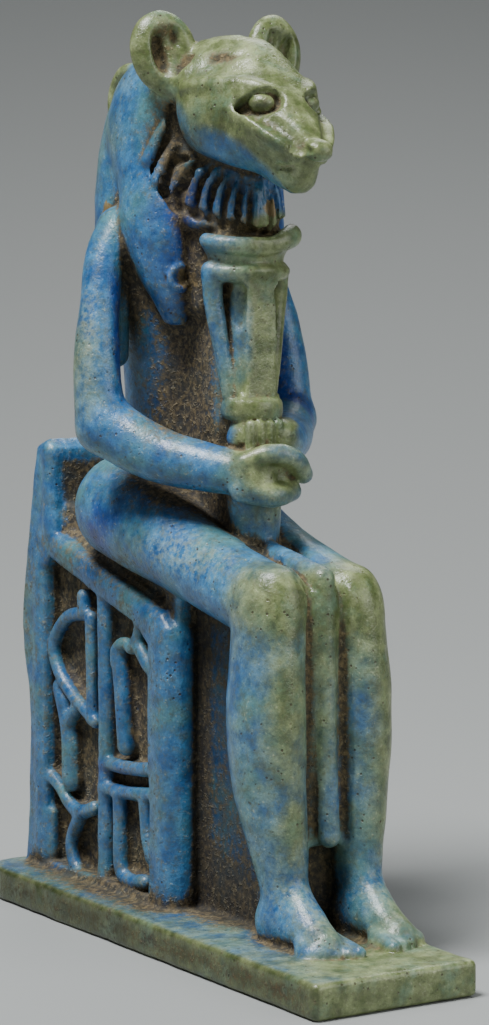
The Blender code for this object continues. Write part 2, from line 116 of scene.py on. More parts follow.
def between_points(a, b, c, d, t):
    """Point of the smooth curve through a, b, c and d, at the share t of the way from b to c."""
    return 0.5 * (2 * b + (c - a) * t + (2 * a - 5 * b + 4 * c - d) * t ** 2
                  + (3 * b - a - 3 * c + d) * t ** 3)


def through(points, radii, pieces):
    """A smooth curve through the points, and its radius at each step."""
    p = np.array([(*point, radius) for point, radius in zip(points, radii)], float)
    p = np.vstack([2 * p[0] - p[1], p, 2 * p[-1] - p[-2]])
    out = []
    for a, b, c, d in zip(p, p[1:], p[2:], p[3:]):
        out += [between_points(a, b, c, d, t) for t in np.arange(pieces) / pieces]
    out.append(p[-2])
    out = np.array(out)
    return out[:, :3], np.maximum(out[:, 3], LEAST_RADIUS)


def limb(points, radii):
    """Round bar along a smooth curve through the points."""
    if np.isscalar(radii):
        radii = [radii] * len(points)
    if len(points) > 2:
        p, r = through(points, radii, LIMB_PIECES)
    else:
        p, r = np.array(points, float), np.array(radii, float)

    def distance(x, y, z):
        best = None
        for a, b, ra, rb in zip(p, p[1:], r, r[1:]):
            run = b - a
            t = ((x - a[0]) * run[0] + (y - a[1]) * run[1] + (z - a[2]) * run[2]) / max(run @ run, 1e-9)
            t = np.clip(t, 0, 1)
            d = np.sqrt((x - a[0] - t * run[0]) ** 2 + (y - a[1] - t * run[1]) ** 2
                        + (z - a[2] - t * run[2]) ** 2) - (ra + t * (rb - ra))
            best = d if best is None else np.minimum(best, d)
        return best

    reach = r.max()
    return p.min(0) - reach, p.max(0) + reach, distance


def block(low, high, rounding, turn=(0, 0, 0)):
    low, high, m = np.array(low, float), np.array(high, float), rotation(turn)
    c, half = (low + high) / 2, (high - low) / 2 - rounding

    def distance(x, y, z):
        p = (x - c[0], y - c[1], z - c[2])
        q = [np.abs(m[0, i] * p[0] + m[1, i] * p[1] + m[2, i] * p[2]) - half[i] for i in range(3)]
        outside = np.sqrt(sum(np.maximum(v, 0) ** 2 for v in q))
        return outside + np.minimum(np.maximum(np.maximum(q[0], q[1]), q[2]), 0) - rounding

    reach = half + rounding if not any(turn) else np.full(3, np.linalg.norm(half + rounding))
    return c - reach, c + reach, distance


def flat_distance(outline, u, v):
    """Signed distance in a plane from a closed outline."""
    pts = np.array(outline, float)
    best, sign = None, 1.0
    for (ax, ay), (bx, by) in zip(pts, np.roll(pts, -1, 0)):
        ex, ey = bx - ax, by - ay
        t = np.clip(((u - ax) * ex + (v - ay) * ey) / (ex * ex + ey * ey), 0, 1)
        d = (u - ax - t * ex) ** 2 + (v - ay - t * ey) ** 2
        best = d if best is None else np.minimum(best, d)
        above, below = v >= ay, v < by
        left = ex * (v - ay) > ey * (u - ax)
        flip = (above & below & left) | (~above & ~below & ~left)
        sign = sign * np.where(flip, -1.0, 1.0)
    return sign * np.sqrt(best)


def plate(outline, x_low, x_high, rounding):
    """Outline in (y, z), as thick as from x_low to x_high, with its edges rounded."""
    pts = np.array(outline, float)
    middle, half = (x_low + x_high) / 2, (x_high - x_low) / 2

    def distance(x, y, z):
        across = flat_distance(outline, y, z) + rounding
        along = np.abs(x - middle) - half + rounding
        outside = np.sqrt(np.maximum(across, 0) ** 2 + np.maximum(along, 0) ** 2)
        return outside + np.minimum(np.maximum(across, along), 0) - rounding

    return (np.array([x_low, *pts.min(0)]), np.array([x_high, *pts.max(0)]), distance)


def loft(sections, rounding):
    """Upright form through elliptic sections: x, y, z, half width and half depth of each."""
    s = np.array(sections, float)
    fine, depth = through(s[:, :3], s[:, 4], LOFT_PIECES)
    width = through(s[:, :3], s[:, 3], LOFT_PIECES)[1]
    order = np.argsort(fine[:, 2])
    fine, depth, width = fine[order], depth[order], width[order]

    def distance(x, y, z):
        rx, ry = np.interp(z, fine[:, 2], width), np.interp(z, fine[:, 2], depth)
        u = (x - np.interp(z, fine[:, 2], fine[:, 0])) / rx
        v = (y - np.interp(z, fine[:, 2], fine[:, 1])) / ry
        near = np.sqrt(u * u + v * v)
        slope = np.sqrt((u / rx) ** 2 + (v / ry) ** 2)
        side = near * (near - 1) / np.maximum(slope, TINY) + rounding
        end = np.maximum(fine[0, 2] - z, z - fine[-1, 2]) + rounding
        outside = np.sqrt(np.maximum(side, 0) ** 2 + np.maximum(end, 0) ** 2)
        return outside + np.minimum(np.maximum(side, end), 0) - rounding

    low = np.array([(s[:, 0] - s[:, 3]).min(), (s[:, 1] - s[:, 4]).min(), s[:, 2].min()])
    high = np.array([(s[:, 0] + s[:, 3]).max(), (s[:, 1] + s[:, 4]).max(), s[:, 2].max()])
    return low - LOFT_MARGIN, high + LOFT_MARGIN, distance


def stack(sections):
    """Closed form through level sections: z, then half of the outline as (x, y) from front to back."""
    levels = np.array([z for z, _ in sections], float)
    outlines = np.array([points for _, points in sections], float)
    low = np.array([-outlines[:, :, 0].max(), outlines[:, :, 1].min(), levels.min()])
    high = np.array([outlines[:, :, 0].max(), outlines[:, :, 1].max(), levels.max()])

    def distance(x, y, z):
        heights = z.ravel()
        out = np.empty((x.size, y.size, heights.size), np.float32)
        for k, height in enumerate(heights):
            level = min(max(height, levels[0]), levels[-1])
            half = np.stack([[smooth_interp(level, levels, outlines[:, i, c]) for c in (0, 1)]
                             for i in range(outlines.shape[1])])
            ring = np.vstack([half, (half * (-1, 1))[-2:0:-1]])
            ring = closed_curve(ring, RING_PIECES)
            flat = flat_distance(ring, x[:, :, 0], y[:, :, 0])
            beyond = abs(height - level)
            out[:, :, k] = flat if beyond == 0 else np.sqrt(np.maximum(flat, 0) ** 2 + beyond ** 2)
        return out

    return low - STACK_MARGIN, high + STACK_MARGIN, distance


def smooth_interp(t, knots, values):
    """Value at t on a smooth curve through the values at the knots."""
    k = int(np.clip(np.searchsorted(knots, t) - 1, 0, len(knots) - 2))
    before, after = max(k - 1, 0), min(k + 2, len(knots) - 1)
    span = knots[k + 1] - knots[k]
    u = (t - knots[k]) / span
    start = (values[k + 1] - values[before]) / (knots[k + 1] - knots[before]) * span
    end = (values[after] - values[k]) / (knots[after] - knots[k]) * span
    return ((2 * u ** 3 - 3 * u ** 2 + 1) * values[k] + (u ** 3 - 2 * u ** 2 + u) * start
            + (3 * u ** 2 - 2 * u ** 3) * values[k + 1] + (u ** 3 - u ** 2) * end)


def closed_curve(points, pieces):
    """More points on a smooth closed curve through the given ones."""
    out = []
    count = len(points)
    for i in range(count):
        a, b, c, d = (points[(i + k - 1) % count] for k in range(4))
        out += [between_points(a, b, c, d, t) for t in np.arange(pieces) / pieces]
    return np.array(out)


def tool_path(points, radii):
    """Smooth curve for a carving tool, and its radius at each step."""
    if np.isscalar(radii):
        radii = [radii] * len(points)
    if len(points) == 2:
        points = [points[0], (np.array(points[0]) + np.array(points[1])) / 2, points[1]]
        radii = [radii[0], sum(radii) / 2, radii[1]]
    return through(points, radii, TOOL_PIECES)


class Clay:
    """A block of space in figure units, filled and cut form by form; a negative value is inside."""

    def __init__(self, low, high, step):
        self.low, self.step = np.array(low, float), step
        size = np.ceil((np.array(high) - self.low) / step).astype(int) + 1
        self.axes = [self.low[k] + step * np.arange(size[k]) for k in range(3)]
        self.field = np.full(size, FAR, np.float32)

    def part(self, low, high, margin):
        size = self.field.shape
        first = [int(np.clip(math.floor((low[k] - margin - self.low[k]) / self.step), 0, size[k] - 1))
                 for k in range(3)]
        last = [int(np.clip(math.ceil((high[k] + margin - self.low[k]) / self.step) + 1, 1, size[k]))
                for k in range(3)]
        cut = tuple(slice(a, b) for a, b in zip(first, last))
        x, y, z = (self.axes[k][cut[k]] for k in range(3))
        return cut, x[:, None, None], y[None, :, None], z[None, None, :]

    def add(self, shape, blend):
        low, high, distance = shape
        cut, x, y, z = self.part(low, high, blend + MELT_MARGIN)
        self.field[cut] = melt(self.field[cut], distance(x, y, z), blend)

    def cut(self, shape, blend):
        low, high, distance = shape
        cut, x, y, z = self.part(low, high, blend + MELT_MARGIN)
        self.field[cut] = -melt(-self.field[cut], distance(x, y, z), blend)

    def sample(self, points, field=None):
        field = self.field if field is None else field
        q = (np.asarray(points) - self.low) / self.step
        size = np.array(field.shape)
        q = np.clip(q, 0, size - JUST_INSIDE)
        i = q.astype(int)
        f = q - i
        total = 0
        for dx in (0, 1):
            for dy in (0, 1):
                for dz in (0, 1):
                    weight = (np.where(dx, f[:, 0], 1 - f[:, 0]) * np.where(dy, f[:, 1], 1 - f[:, 1])
                              * np.where(dz, f[:, 2], 1 - f[:, 2]))
                    total = total + weight * field[i[:, 0] + dx, i[:, 1] + dy, i[:, 2] + dz]
        return total

    def slope(self, points):
        p = np.asarray(points, float)
        h = self.step
        out = np.stack([self.sample(p + h * e) - self.sample(p - h * e) for e in np.eye(3)], 1)
        return out / np.maximum(np.linalg.norm(out, axis=1, keepdims=True), TINY)

    def settle(self, points):
        """Points moved onto the surface, and the outward directions there."""
        p = np.array(points, float)
        for _ in range(SETTLE_ROUNDS):
            p = p - np.clip(self.sample(p), -SETTLE_STRIDE, SETTLE_STRIDE)[:, None] * self.slope(p)
        return p, self.slope(p)

    def groove(self, points, radii, depth, blend):
        """Cut along a line on the surface, as deep as told where the tool is at full width."""
        p, r = tool_path(points, radii)
        p, out = self.settle(p)
        self.cut(limb_exact(p + out * (r - depth)[:, None], r), blend)

    def ridge(self, points, radii, height, blend):
        """Raised round line along the surface."""
        p, r = tool_path(points, radii)
        p, out = self.settle(p)
        self.add(limb_exact(p - out * (r - height)[:, None], r), blend)


def limb_exact(points, radii):
    """Round bar straight from point to point."""
    shapes = [limb([a, b], [ra, rb]) for a, b, ra, rb in zip(points, points[1:], radii, radii[1:])]

    def distance(x, y, z):
        best = None
        for _, _, measure in shapes:
            d = measure(x, y, z)
            best = d if best is None else np.minimum(best, d)
        return best

    low = np.min([s[0] for s in shapes], 0)
    high = np.max([s[1] for s in shapes], 0)
    return low, high, distance


def sided(rows, side):
    """Rows given for the figure's left, with x turned to the side asked for."""
    return [(side * x, *rest) for x, *rest in rows]


def add_bars(clay, rows, side=1):
    """Round bars from a table: points, radii, fillet."""
    for points, radii, fillet in rows:
        clay.add(limb(sided(points, side), radii), fillet)


def add_eggs(clay, rows, side=1):
    """Egg forms from a table: middle, radii, turn, fillet."""
    for centre, radii, turn, fillet in rows:
        clay.add(egg(*sided([centre], side), radii, turn), fillet)


def add_blocks(clay, rows):
    """Blocks from a table: lowest corner, highest corner, rounding, turn, fillet."""
    for low, high, rounding, turn, fillet in rows:
        clay.add(block(low, high, rounding, turn), fillet)


def add_lofts(clay, rows, side=1):
    """Lofts from a table: sections, rounding, fillet."""
    for sections, rounding, fillet in rows:
        clay.add(loft(sided(sections, side), rounding), fillet)


def cut_grooves(clay, rows, side):
    """Grooves from a table: points, radii, depth, fillet."""
    for points, radii, depth, fillet in rows:
        clay.groove(sided(points, side), radii, depth, fillet)


STRAIGHT = (0, 0, 0)

# Plinth: its edge rounding, its two round corners at the back, and how far their cutter goes past it.
PLINTH_EDGE = 0.45
PLINTH_FILLET = 0.01
CORNER_FILLET = 0.3
CORNER_PAST_BACK = 1.0
CORNER_PAST_TOP = 0.5


def plinth(clay):
    clay.add(block(PLINTH_LOW, PLINTH_HIGH, PLINTH_EDGE), PLINTH_FILLET)
    back, r = PLINTH_HIGH[1], PLINTH_BACK_CORNER
    for side, x in zip(SIDES, (PLINTH_LOW[0], PLINTH_HIGH[0])):
        cx, cy = x - side * r, back - r
        lowest = np.array([min(x, cx), cy, PLINTH_LOW[2]])
        highest = np.array([max(x, cx), back + CORNER_PAST_BACK, PLINTH_HIGH[2] + CORNER_PAST_TOP])

        def corner(px, py, pz, cx=cx, cy=cy, side=side):
            beyond = np.minimum(side * (px - cx), py - cy)
            ring = r - np.sqrt((px - cx) ** 2 + (py - cy) ** 2)
            return np.maximum(ring, -beyond) + 0 * pz

        clay.cut((lowest, highest, corner), CORNER_FILLET)


# Throne outlines in (y, z).
THRONE_OUTLINE = ((2.4, -0.6), (2.4, 19.8), (3.4, 20.9), (18.6, 25.2), (19.0, 31.4), (19.8, 32.1),
                  (21.3, 31.5), (22.3, 27.5), (23.5, 21.2), (23.9, 18.1), (23.6, 15.9), (22.8, 13.0),
                  (22.7, 9.9), (23.0, 4.5), (23.6, -0.6))
THRONE_EDGE, THRONE_FILLET = 0.55, 0.35
SEAT_OUTLINE = ((2.2, 18.0), (2.2, 22.4), (18.8, 27.4), (18.8, 20.0))
SEAT_HALF, SEAT_EDGE, SEAT_FILLET = 4.0, 0.3, 0.4
# Recesses in each side: outline and rounding.
PANEL_OPENING = ((5.0, 0.5), (5.0, 18.4), (6.6, 19.6), (19.4, 23.3), (20.2, 22.4), (20.2, 0.5))
BAND_CHANNEL = ((4.4, 21.5), (18.0, 25.5), (18.6, 31.0), (12.0, 31.0), (4.4, 27.0))
RECESSES = ((PANEL_OPENING, 0.25), (BAND_CHANNEL, 0.3))
RECESS_FILLET = 0.3
CUTTER_PAST = 1.5
# Frame: start, end, radius, and how far it stands out.
FRAME_POSTS = (((3.5, 0.7), (3.45, 18.9), 1.6, 0.12), ((21.15, 1.2), (21.1, 22.3), 0.95, 0.1),
               ((4.0, 19.95), (18.4, 24.15), 0.82, 0.1), ((19.6, 24.8), (19.7, 31.2), 0.6, 0.12))
FRAME_FILLET = 0.35
# Bars of the panel: points and radius.
PANEL_BARS = (
    (((15.0, 19.6), (17.6, 19.0), (19.4, 17.2), (19.2, 15.4), (17.4, 13.7), (15.2, 12.6), (13.4, 11.8)), 0.5),
    (((14.0, 19.4), (13.9, 15.5), (13.8, 12.0)), 0.45),
    (((15.1, 20.9), (14.9, 19.6)), 0.5),
    (((12.1, 20.9), (12.0, 10.0), (12.1, 0.4)), 0.66),
    (((18.9, 13.6), (18.3, 12.4), (17.6, 10.2), (17.4, 6.9)), 0.85),
    (((16.4, 12.3), (17.4, 11.2)), 0.55),
    (((20.6, 7.0), (18.8, 6.2), (16.8, 4.9), (15.2, 4.9), (13.6, 5.4)), 0.5),
    (((15.6, 4.7), (17.0, 2.6), (16.8, 1.0), (15.6, -0.1)), 0.52),
    (((20.3, 4.0), (20.2, 0.9)), 0.62),
    (((10.3, 16.6), (10.0, 17.6), (9.0, 18.1), (8.0, 17.8), (7.3, 18.5), (6.8, 19.8)), 0.45),
    (((7.4, 18.3), (6.2, 17.2), (5.2, 16.6)), 0.55),
    (((10.1, 17.2), (9.6, 14.0), (9.2, 10.6)), 0.68),
    (((12.0, 9.0), (8.5, 9.1), (5.0, 9.5)), 0.5),
    (((12.0, 7.1), (8.5, 7.3), (5.0, 7.7)), 0.5),
    (((9.9, 7.0), (9.9, 4.0), (9.7, 1.5), (8.4, 0.9), (6.4, 1.2)), 0.55),
    (((6.3, 7.2), (6.1, 5.0), (5.4, 3.2)), 0.6),
)
BAR_INSET, BAR_FILLET = 0.12, 0.28
BAR_ROOT_INSET, BAR_ROOT_SHARE, BAR_ROOT_FILLET = 0.9, 0.95, 0.25


def throne(clay):
    """Block throne: a low back, framed side panels with bars, and a channel along the seat."""
    clay.add(plate(THRONE_OUTLINE, -THRONE_HALF, THRONE_HALF, THRONE_EDGE), THRONE_FILLET)
    clay.add(plate(SEAT_OUTLINE, -SEAT_HALF, SEAT_HALF, SEAT_EDGE), SEAT_FILLET)
    for side in SIDES:
        inner, outer = side * (THRONE_HALF - PANEL_DEPTH), side * (THRONE_HALF + CUTTER_PAST)
        for outline, rounding in RECESSES:
            clay.cut(plate(outline, min(inner, outer), max(inner, outer), rounding), RECESS_FILLET)
        for start, end, radius, rise in FRAME_POSTS:
            x = side * (THRONE_HALF + rise - radius)
            clay.add(limb([(x, *start), (x, *end)], radius), FRAME_FILLET)
        for points, radius in PANEL_BARS:
            face = side * (THRONE_HALF - BAR_INSET - radius)
            clay.add(limb([(face, y, z) for y, z in points], radius), BAR_FILLET)
            root = side * (THRONE_HALF - BAR_ROOT_INSET - radius)
            clay.add(limb([(root, y, z) for y, z in points], radius * BAR_ROOT_SHARE), BAR_ROOT_FILLET)


# Shins, in sections: x, y, z, half width, half depth. The left knee sits a little lower.
SHIN_SECTIONS = ((3.0, -9.9, 0.0, 1.5, 2.0), (3.0, -9.75, 3.0, 1.5, 1.9), (3.1, -9.2, 6.0, 1.85, 2.3),
                 (3.35, -8.5, 10.0, 2.35, 2.9), (3.5, -8.3, 14.5, 2.5, 3.2), (3.35, -8.2, 19.0, 2.35, 3.1))
KNEE_SECTIONS = ((3.1, -8.1, 22.6, 2.3, 2.8), (3.0, -7.8, 25.0, 1.7, 2.2))
SHIN_EDGE, SHIN_FILLET = 0.5, 0.4
KNEE_CENTRE, KNEE_RADII, KNEE_FILLET = (3.05, -8.2, 22.6), (2.3, 2.7, 2.55), 0.6
LEFT_KNEE_DROP = 0.5
SKIRT_FRONT = ((-2.3, -10.3, 6.2), (2.3, -5.0, 23.6), 0.4, (1.0, 0, 0), 0.5)
SKIRT_RIDGE = (((0, -9.8, 24.2), (0, -10.3, 15.0), (0, -10.7, 6.9)), (0.85, 0.72, 0.72), 0.25)
SKIRT_FOLD = (((1.35, -10.3, 23.9), (1.35, -10.6, 15.0), (1.3, -11.0, 6.6)), (0.4, 0.45, 0.4), 0.32, 0.2)
WEB_BLOCKS = (((-2.3, -7.7, -0.5), (2.3, 3.0, 22.6), 0.5, STRAIGHT, 0.4),
              ((-2.9, -8.7, -0.5), (2.9, -7.2, 8.0), 0.4, STRAIGHT, 0.4))


def legs(clay):
    """Shins in a tight skirt with a ridge between two folds, and a web back to the throne."""
    for side in SIDES:
        drop = LEFT_KNEE_DROP if side > 0 else 0.0
        knee = [(x, y, z - drop, wide, deep) for x, y, z, wide, deep in KNEE_SECTIONS]
        clay.add(loft(sided((*SHIN_SECTIONS, *knee), side), SHIN_EDGE), SHIN_FILLET)
        x, y, z = KNEE_CENTRE
        clay.add(egg((side * x, y, z - drop), KNEE_RADII), KNEE_FILLET)
    add_blocks(clay, [SKIRT_FRONT])
    add_bars(clay, [SKIRT_RIDGE])
    add_blocks(clay, WEB_BLOCKS)
    for side in SIDES:
        cut_grooves(clay, [SKIRT_FOLD], side)


FOOT_X = 2.95
SOLE = (((FOOT_X, -9.2, 1.3), (FOOT_X, -12.3, 1.15), (FOOT_X, -14.6, 0.6)), (1.75, 1.5, 1.2), 0.5)
INSTEP_AND_BALL = (((FOOT_X, -10.9, 2.1), (1.45, 2.7, 1.9), (24, 0, 0), 0.8),
                   ((FOOT_X, -14.4, 0.35), (2.0, 1.6, 0.8), (4, 0, 0), 0.5))
TOES = 5
TOE_SPREAD, TOE_SPACING, TOE_ROOT_SHARE = 1.55, 0.78, 0.8
TOE_ROOT_Y, TOE_ROOT_Z, TOE_TIP_Y, TOE_TIP_Z = -13.6, 0.75, -16.35, 0.2
TOE_CURVE, TOE_RADIUS, TOE_TAPER, TOE_FILLET = 0.11, 0.5, 0.03, 0.12


def feet(clay):
    for side in SIDES:
        add_bars(clay, [SOLE], side)
        add_eggs(clay, INSTEP_AND_BALL, side)
        for toe in range(TOES):
            spread = TOE_SPREAD - TOE_SPACING * toe
            root = (side * (FOOT_X - spread * TOE_ROOT_SHARE), TOE_ROOT_Y, TOE_ROOT_Z)
            tip = (side * (FOOT_X - spread), TOE_TIP_Y + TOE_CURVE * toe * toe, TOE_TIP_Z)
            clay.add(limb([root, tip], [TOE_RADIUS, TOE_RADIUS - TOE_TAPER * toe]), TOE_FILLET)


THIGH = (((3.0, 11.2, 27.6), (3.1, 7.0, 26.4), (3.0, 1.0, 24.6), (2.95, -4.0, 23.3), (3.0, -7.8, 22.5)),
         (3.75, 3.45, 2.9, 2.7, 2.55), 0.5)
LAP_SKIRT = ((-2.3, -9.4, 21.7), (2.3, 10.0, 26.0), 0.4, (13, 0, 0), 0.5)
LAP_RIDGE = (((0, -2.4, 25.6), (0, -9.4, 24.25)), (0.8, 0.85), 0.3)
LAP_FOLD = (((1.3, -3.6, 27.0), (1.35, -9.6, 25.2)), (0.4, 0.4), 0.25, 0.25)


def lap(clay):
    """Thighs from the hips to the knees, closed between by the skirt."""
    for side in SIDES:
        add_bars(clay, [THIGH], side)
    add_blocks(clay, [LAP_SKIRT])
    add_bars(clay, [LAP_RIDGE])
    for side in SIDES:
        cut_grooves(clay, [LAP_FOLD], side)


TORSO = (((0, 9.6, 24.6, 5.2, 5.2), (0, 9.4, 29.0, 4.4, 5.3), (0, 8.9, 33.0, 3.7, 4.6),
          (0, 8.7, 38.0, 3.9, 4.5), (0, 8.5, 42.0, 4.5, 4.5), (0, 8.6, 45.5, 5.0, 4.6),
          (0, 8.8, 48.5, 4.3, 4.1)), 0.8, 0.7)


def torso(clay):
    add_lofts(clay, [TORSO])


# Upper arm and the flesh beside the chest, then the two forearms.
UPPER_ARMS = (
    (((4.8, 8.7, 47.3), (6.3, 8.3, 45.6), (7.2, 7.6, 42.6), (7.75, 7.1, 39.4), (7.9, 6.7, 36.0),
      (7.6, 6.2, 33.9)), (1.9, 1.45, 1.4, 1.58, 1.75, 2.0), 0.45),
    (((5.4, 8.4, 45.0), (5.7, 8.2, 38.8)), (1.1, 1.0), 0.4),
)
FOREARMS = (
    (((-7.6, 6.2, 33.9), (-5.5, 3.0, 32.1), (-3.2, -0.6, 31.2), (-1.6, -2.6, 30.9)),
     (2.05, 1.95, 1.7, 1.5), 0.5),
    (((7.6, 6.2, 33.9), (5.5, 3.0, 33.0), (3.2, -0.4, 32.9), (1.6, -1.9, 33.2)),
     (2.05, 1.85, 1.6, 1.4), 0.5),
)


def arms(clay):
    """Arms bent at the elbow; the right fist closes below the left hand, in front of the sceptre."""
    for side in SIDES:
        add_bars(clay, UPPER_ARMS, side)
    add_bars(clay, FOREARMS)


FIST = ((-0.6, -2.9, 30.7), (2.5, 1.75, 1.9), (0, 6, 0), 0.5)
THUMB_AND_FINGERS = (
    (((-2.3, -3.5, 31.7), (-0.6, -4.5, 32.3), (1.1, -4.6, 31.8), (2.3, -4.0, 30.8)),
     (0.7, 0.75, 0.8, 0.7), 0.3),
    (((-2.4, -3.4, 29.8), (-0.5, -4.4, 29.5), (1.2, -4.2, 29.7)), (0.8, 0.85, 0.7), 0.35),
)
FIST_HOLLOW, FIST_HOLLOW_FILLET = ((0.1, -5.1, 30.9), (0.95, 0.75, 0.6), (0, 8, 0)), 0.3
UPPER_HAND = ((0.1, -1.5, 33.3), (2.35, 1.5, 1.4), STRAIGHT, 0.35)
FINGERS, FINGER_X, FINGER_SPACING, FINGER_Y = 4, -1.3, 0.75, -2.8
FINGER_LEVELS, FINGER_RADII, FINGER_FILLET = (32.7, 34.2), (0.4, 0.38), 0.08


def hands(clay):
    add_eggs(clay, [FIST])
    add_bars(clay, THUMB_AND_FINGERS)
    clay.cut(egg(*FIST_HOLLOW), FIST_HOLLOW_FILLET)
    add_eggs(clay, [UPPER_HAND])
    for finger in range(FINGERS):
        x = FINGER_X + FINGER_SPACING * finger
        clay.add(limb([(x, FINGER_Y, z) for z in FINGER_LEVELS], FINGER_RADII), FINGER_FILLET)


SHAFT = (((-1.55, -2.35, 33.6), (1.55, 1.2, 45.0), 0.35, STRAIGHT, 0.25),
         ((-2.0, 0.2, 31.5), (2.0, 5.6, 45.5), 0.4, STRAIGHT, 0.6))
SHAFT_STRIP = (((1.7, -0.7, 36.2), (2.15, -0.4, 39.5), (2.6, -0.1, 42.6), (2.7, -0.1, 44.6)),
               (0.5, 0.6, 0.72, 0.8), 0.25)
SHAFT_SLOTS = ((((1.75, -1.8, 43.3), (1.75, -1.7, 41.2)), (0.72, 0.66), 0.12),
               (((1.65, -2.05, 41.2), (1.55, -2.1, 36.6)), (0.5, 0.36), 0.15))
# Lower ring, upper ring, and the flaring head.
SCEPTRE_RINGS = (
    (((0, -1.0, 34.45, 1.8, 1.6), (0, -1.0, 34.8, 2.15, 1.95), (0, -1.0, 35.7, 2.15, 1.95),
      (0, -1.0, 36.05, 1.8, 1.6)), 0.2, 0.08),
    (((0, -0.2, 43.9, 2.7, 2.0), (0, -0.2, 44.4, 3.2, 2.5), (0, -0.2, 44.9, 3.2, 2.5),
      (0, -0.2, 45.3, 2.7, 2.0)), 0.25, 0.1),
    (((0, -0.2, 45.0, 2.75, 2.1), (0, -0.2, 45.7, 2.85, 2.2), (0, -0.2, 46.4, 3.2, 2.65),
      (0, -0.2, 47.0, 3.25, 2.75)), 0.3, 0.15),
)
SCEPTRE_LIPS = (
    (((0.0, -2.4, 46.2), (1.5, -2.3, 46.7), (2.7, -1.6, 47.1), (3.2, -0.6, 47.0)),
     (0.5, 0.76, 0.88, 0.72), 0.25),
    (((-3.2, -0.2, 46.8), (-2.4, -1.7, 46.5), (-0.6, -2.4, 46.2)), (0.5, 0.55, 0.5), 0.25),
)
SCEPTRE_BACKING = (((-2.5, -1.0, 46.4), (2.5, 3.0, 48.3), 0.4, STRAIGHT, 0.3),
                   ((-2.8, 1.4, 41.6), (2.8, 5.6, 47.6), 0.8, STRAIGHT, 0.4))
SCEPTRE_FOOT = (((-0.1, -1.5, 25.2, 1.5, 1.7), (-0.1, -1.5, 27.5, 1.75, 1.85), (-0.3, -1.5, 30.6, 2.2, 1.9)),
                0.4, 0.3)
FOOT_BACKING = ((-1.3, -1.5, 24.5), (1.3, 7.0, 34.5), 0.4, STRAIGHT, 0.5)


def sceptre(clay):
    """Column with side strips, a flaring head and two rings, webbed to the chest."""
    add_blocks(clay, SHAFT)
    for side in SIDES:
        add_bars(clay, [SHAFT_STRIP], side)
        for points, radii, fillet in SHAFT_SLOTS:
            clay.cut(limb(sided(points, side), radii), fillet)
    add_lofts(clay, SCEPTRE_RINGS)
    add_bars(clay, SCEPTRE_LIPS)
    add_blocks(clay, SCEPTRE_BACKING)
    add_lofts(clay, [SCEPTRE_FOOT])
    add_blocks(clay, [FOOT_BACKING])


WIG = (((0, 10.2, 41.5, 3.4, 3.4), (0, 10.7, 45.0, 4.8, 4.9), (0, 10.9, 49.0, 4.9, 5.1),
        (0, 10.5, 52.5, 4.75, 5.3), (0, 9.4, 56.0, 4.5, 5.2), (0, 7.8, 58.4, 3.9, 4.5),
        (0, 6.0, 60.0, 2.7, 3.2)), 0.8, 0.8)
WIG_UNDER_JAW = ((0, 5.6, 51.0), (4.6, 5.0, 5.0), STRAIGHT, 0.8)
WIG_TEMPLES = (((3.1, 7.0, 55.0), (2.5, 4.2, 4.4), STRAIGHT, 1.0),
               ((3.4, 3.0, 57.6), (1.5, 3.0, 1.7), STRAIGHT, 0.9))
LAPPET = (((3.15, 4.0, 40.9, 0.7, 0.8), (3.4, 4.1, 42.6, 1.35, 1.5), (3.7, 4.7, 44.6, 1.8, 2.3),
           (4.0, 5.4, 47.4, 2.1, 3.0), (3.9, 6.0, 50.5, 1.9, 3.1), (3.7, 7.2, 53.5, 1.7, 3.0),
           (3.4, 7.8, 56.0, 1.5, 2.6)), 0.4, 1.1)
LAPPET_LINE = (((3.1, 2.5, 43.5), (3.0, 2.4, 44.5), (3.6, 2.3, 45.2), (4.3, 2.7, 44.9), (4.5, 3.0, 44.1)),
               0.22, 0.2, 0.1)
# Ring on the lappet: middle, radius, its open arc, and the wire's radius, height and fillet.
RING_CENTRE, RING_RADIUS, RING_ARC, RING_POINTS = (3.75, 2.4, 44.25), 0.8, (-2.6, 2.0), 9
RING_WIRE, RING_HEIGHT, RING_FILLET = 0.26, 0.3, 0.08


def wig(clay):
    """Heavy hair down the back, and two lappets on the chest, each with a line and a ring."""
    add_lofts(clay, [WIG])
    add_eggs(clay, [WIG_UNDER_JAW])
    for side in SIDES:
        add_eggs(clay, WIG_TEMPLES, side)
    x, y, z = RING_CENTRE
    for side in SIDES:
        add_lofts(clay, [LAPPET], side)
        cut_grooves(clay, [LAPPET_LINE], side)
        ring = [(x + RING_RADIUS * math.cos(a), y, z + RING_RADIUS * math.sin(a))
                for a in np.linspace(*RING_ARC, RING_POINTS)]
        clay.ridge(sided(ring, side), RING_WIRE, RING_HEIGHT, RING_FILLET)


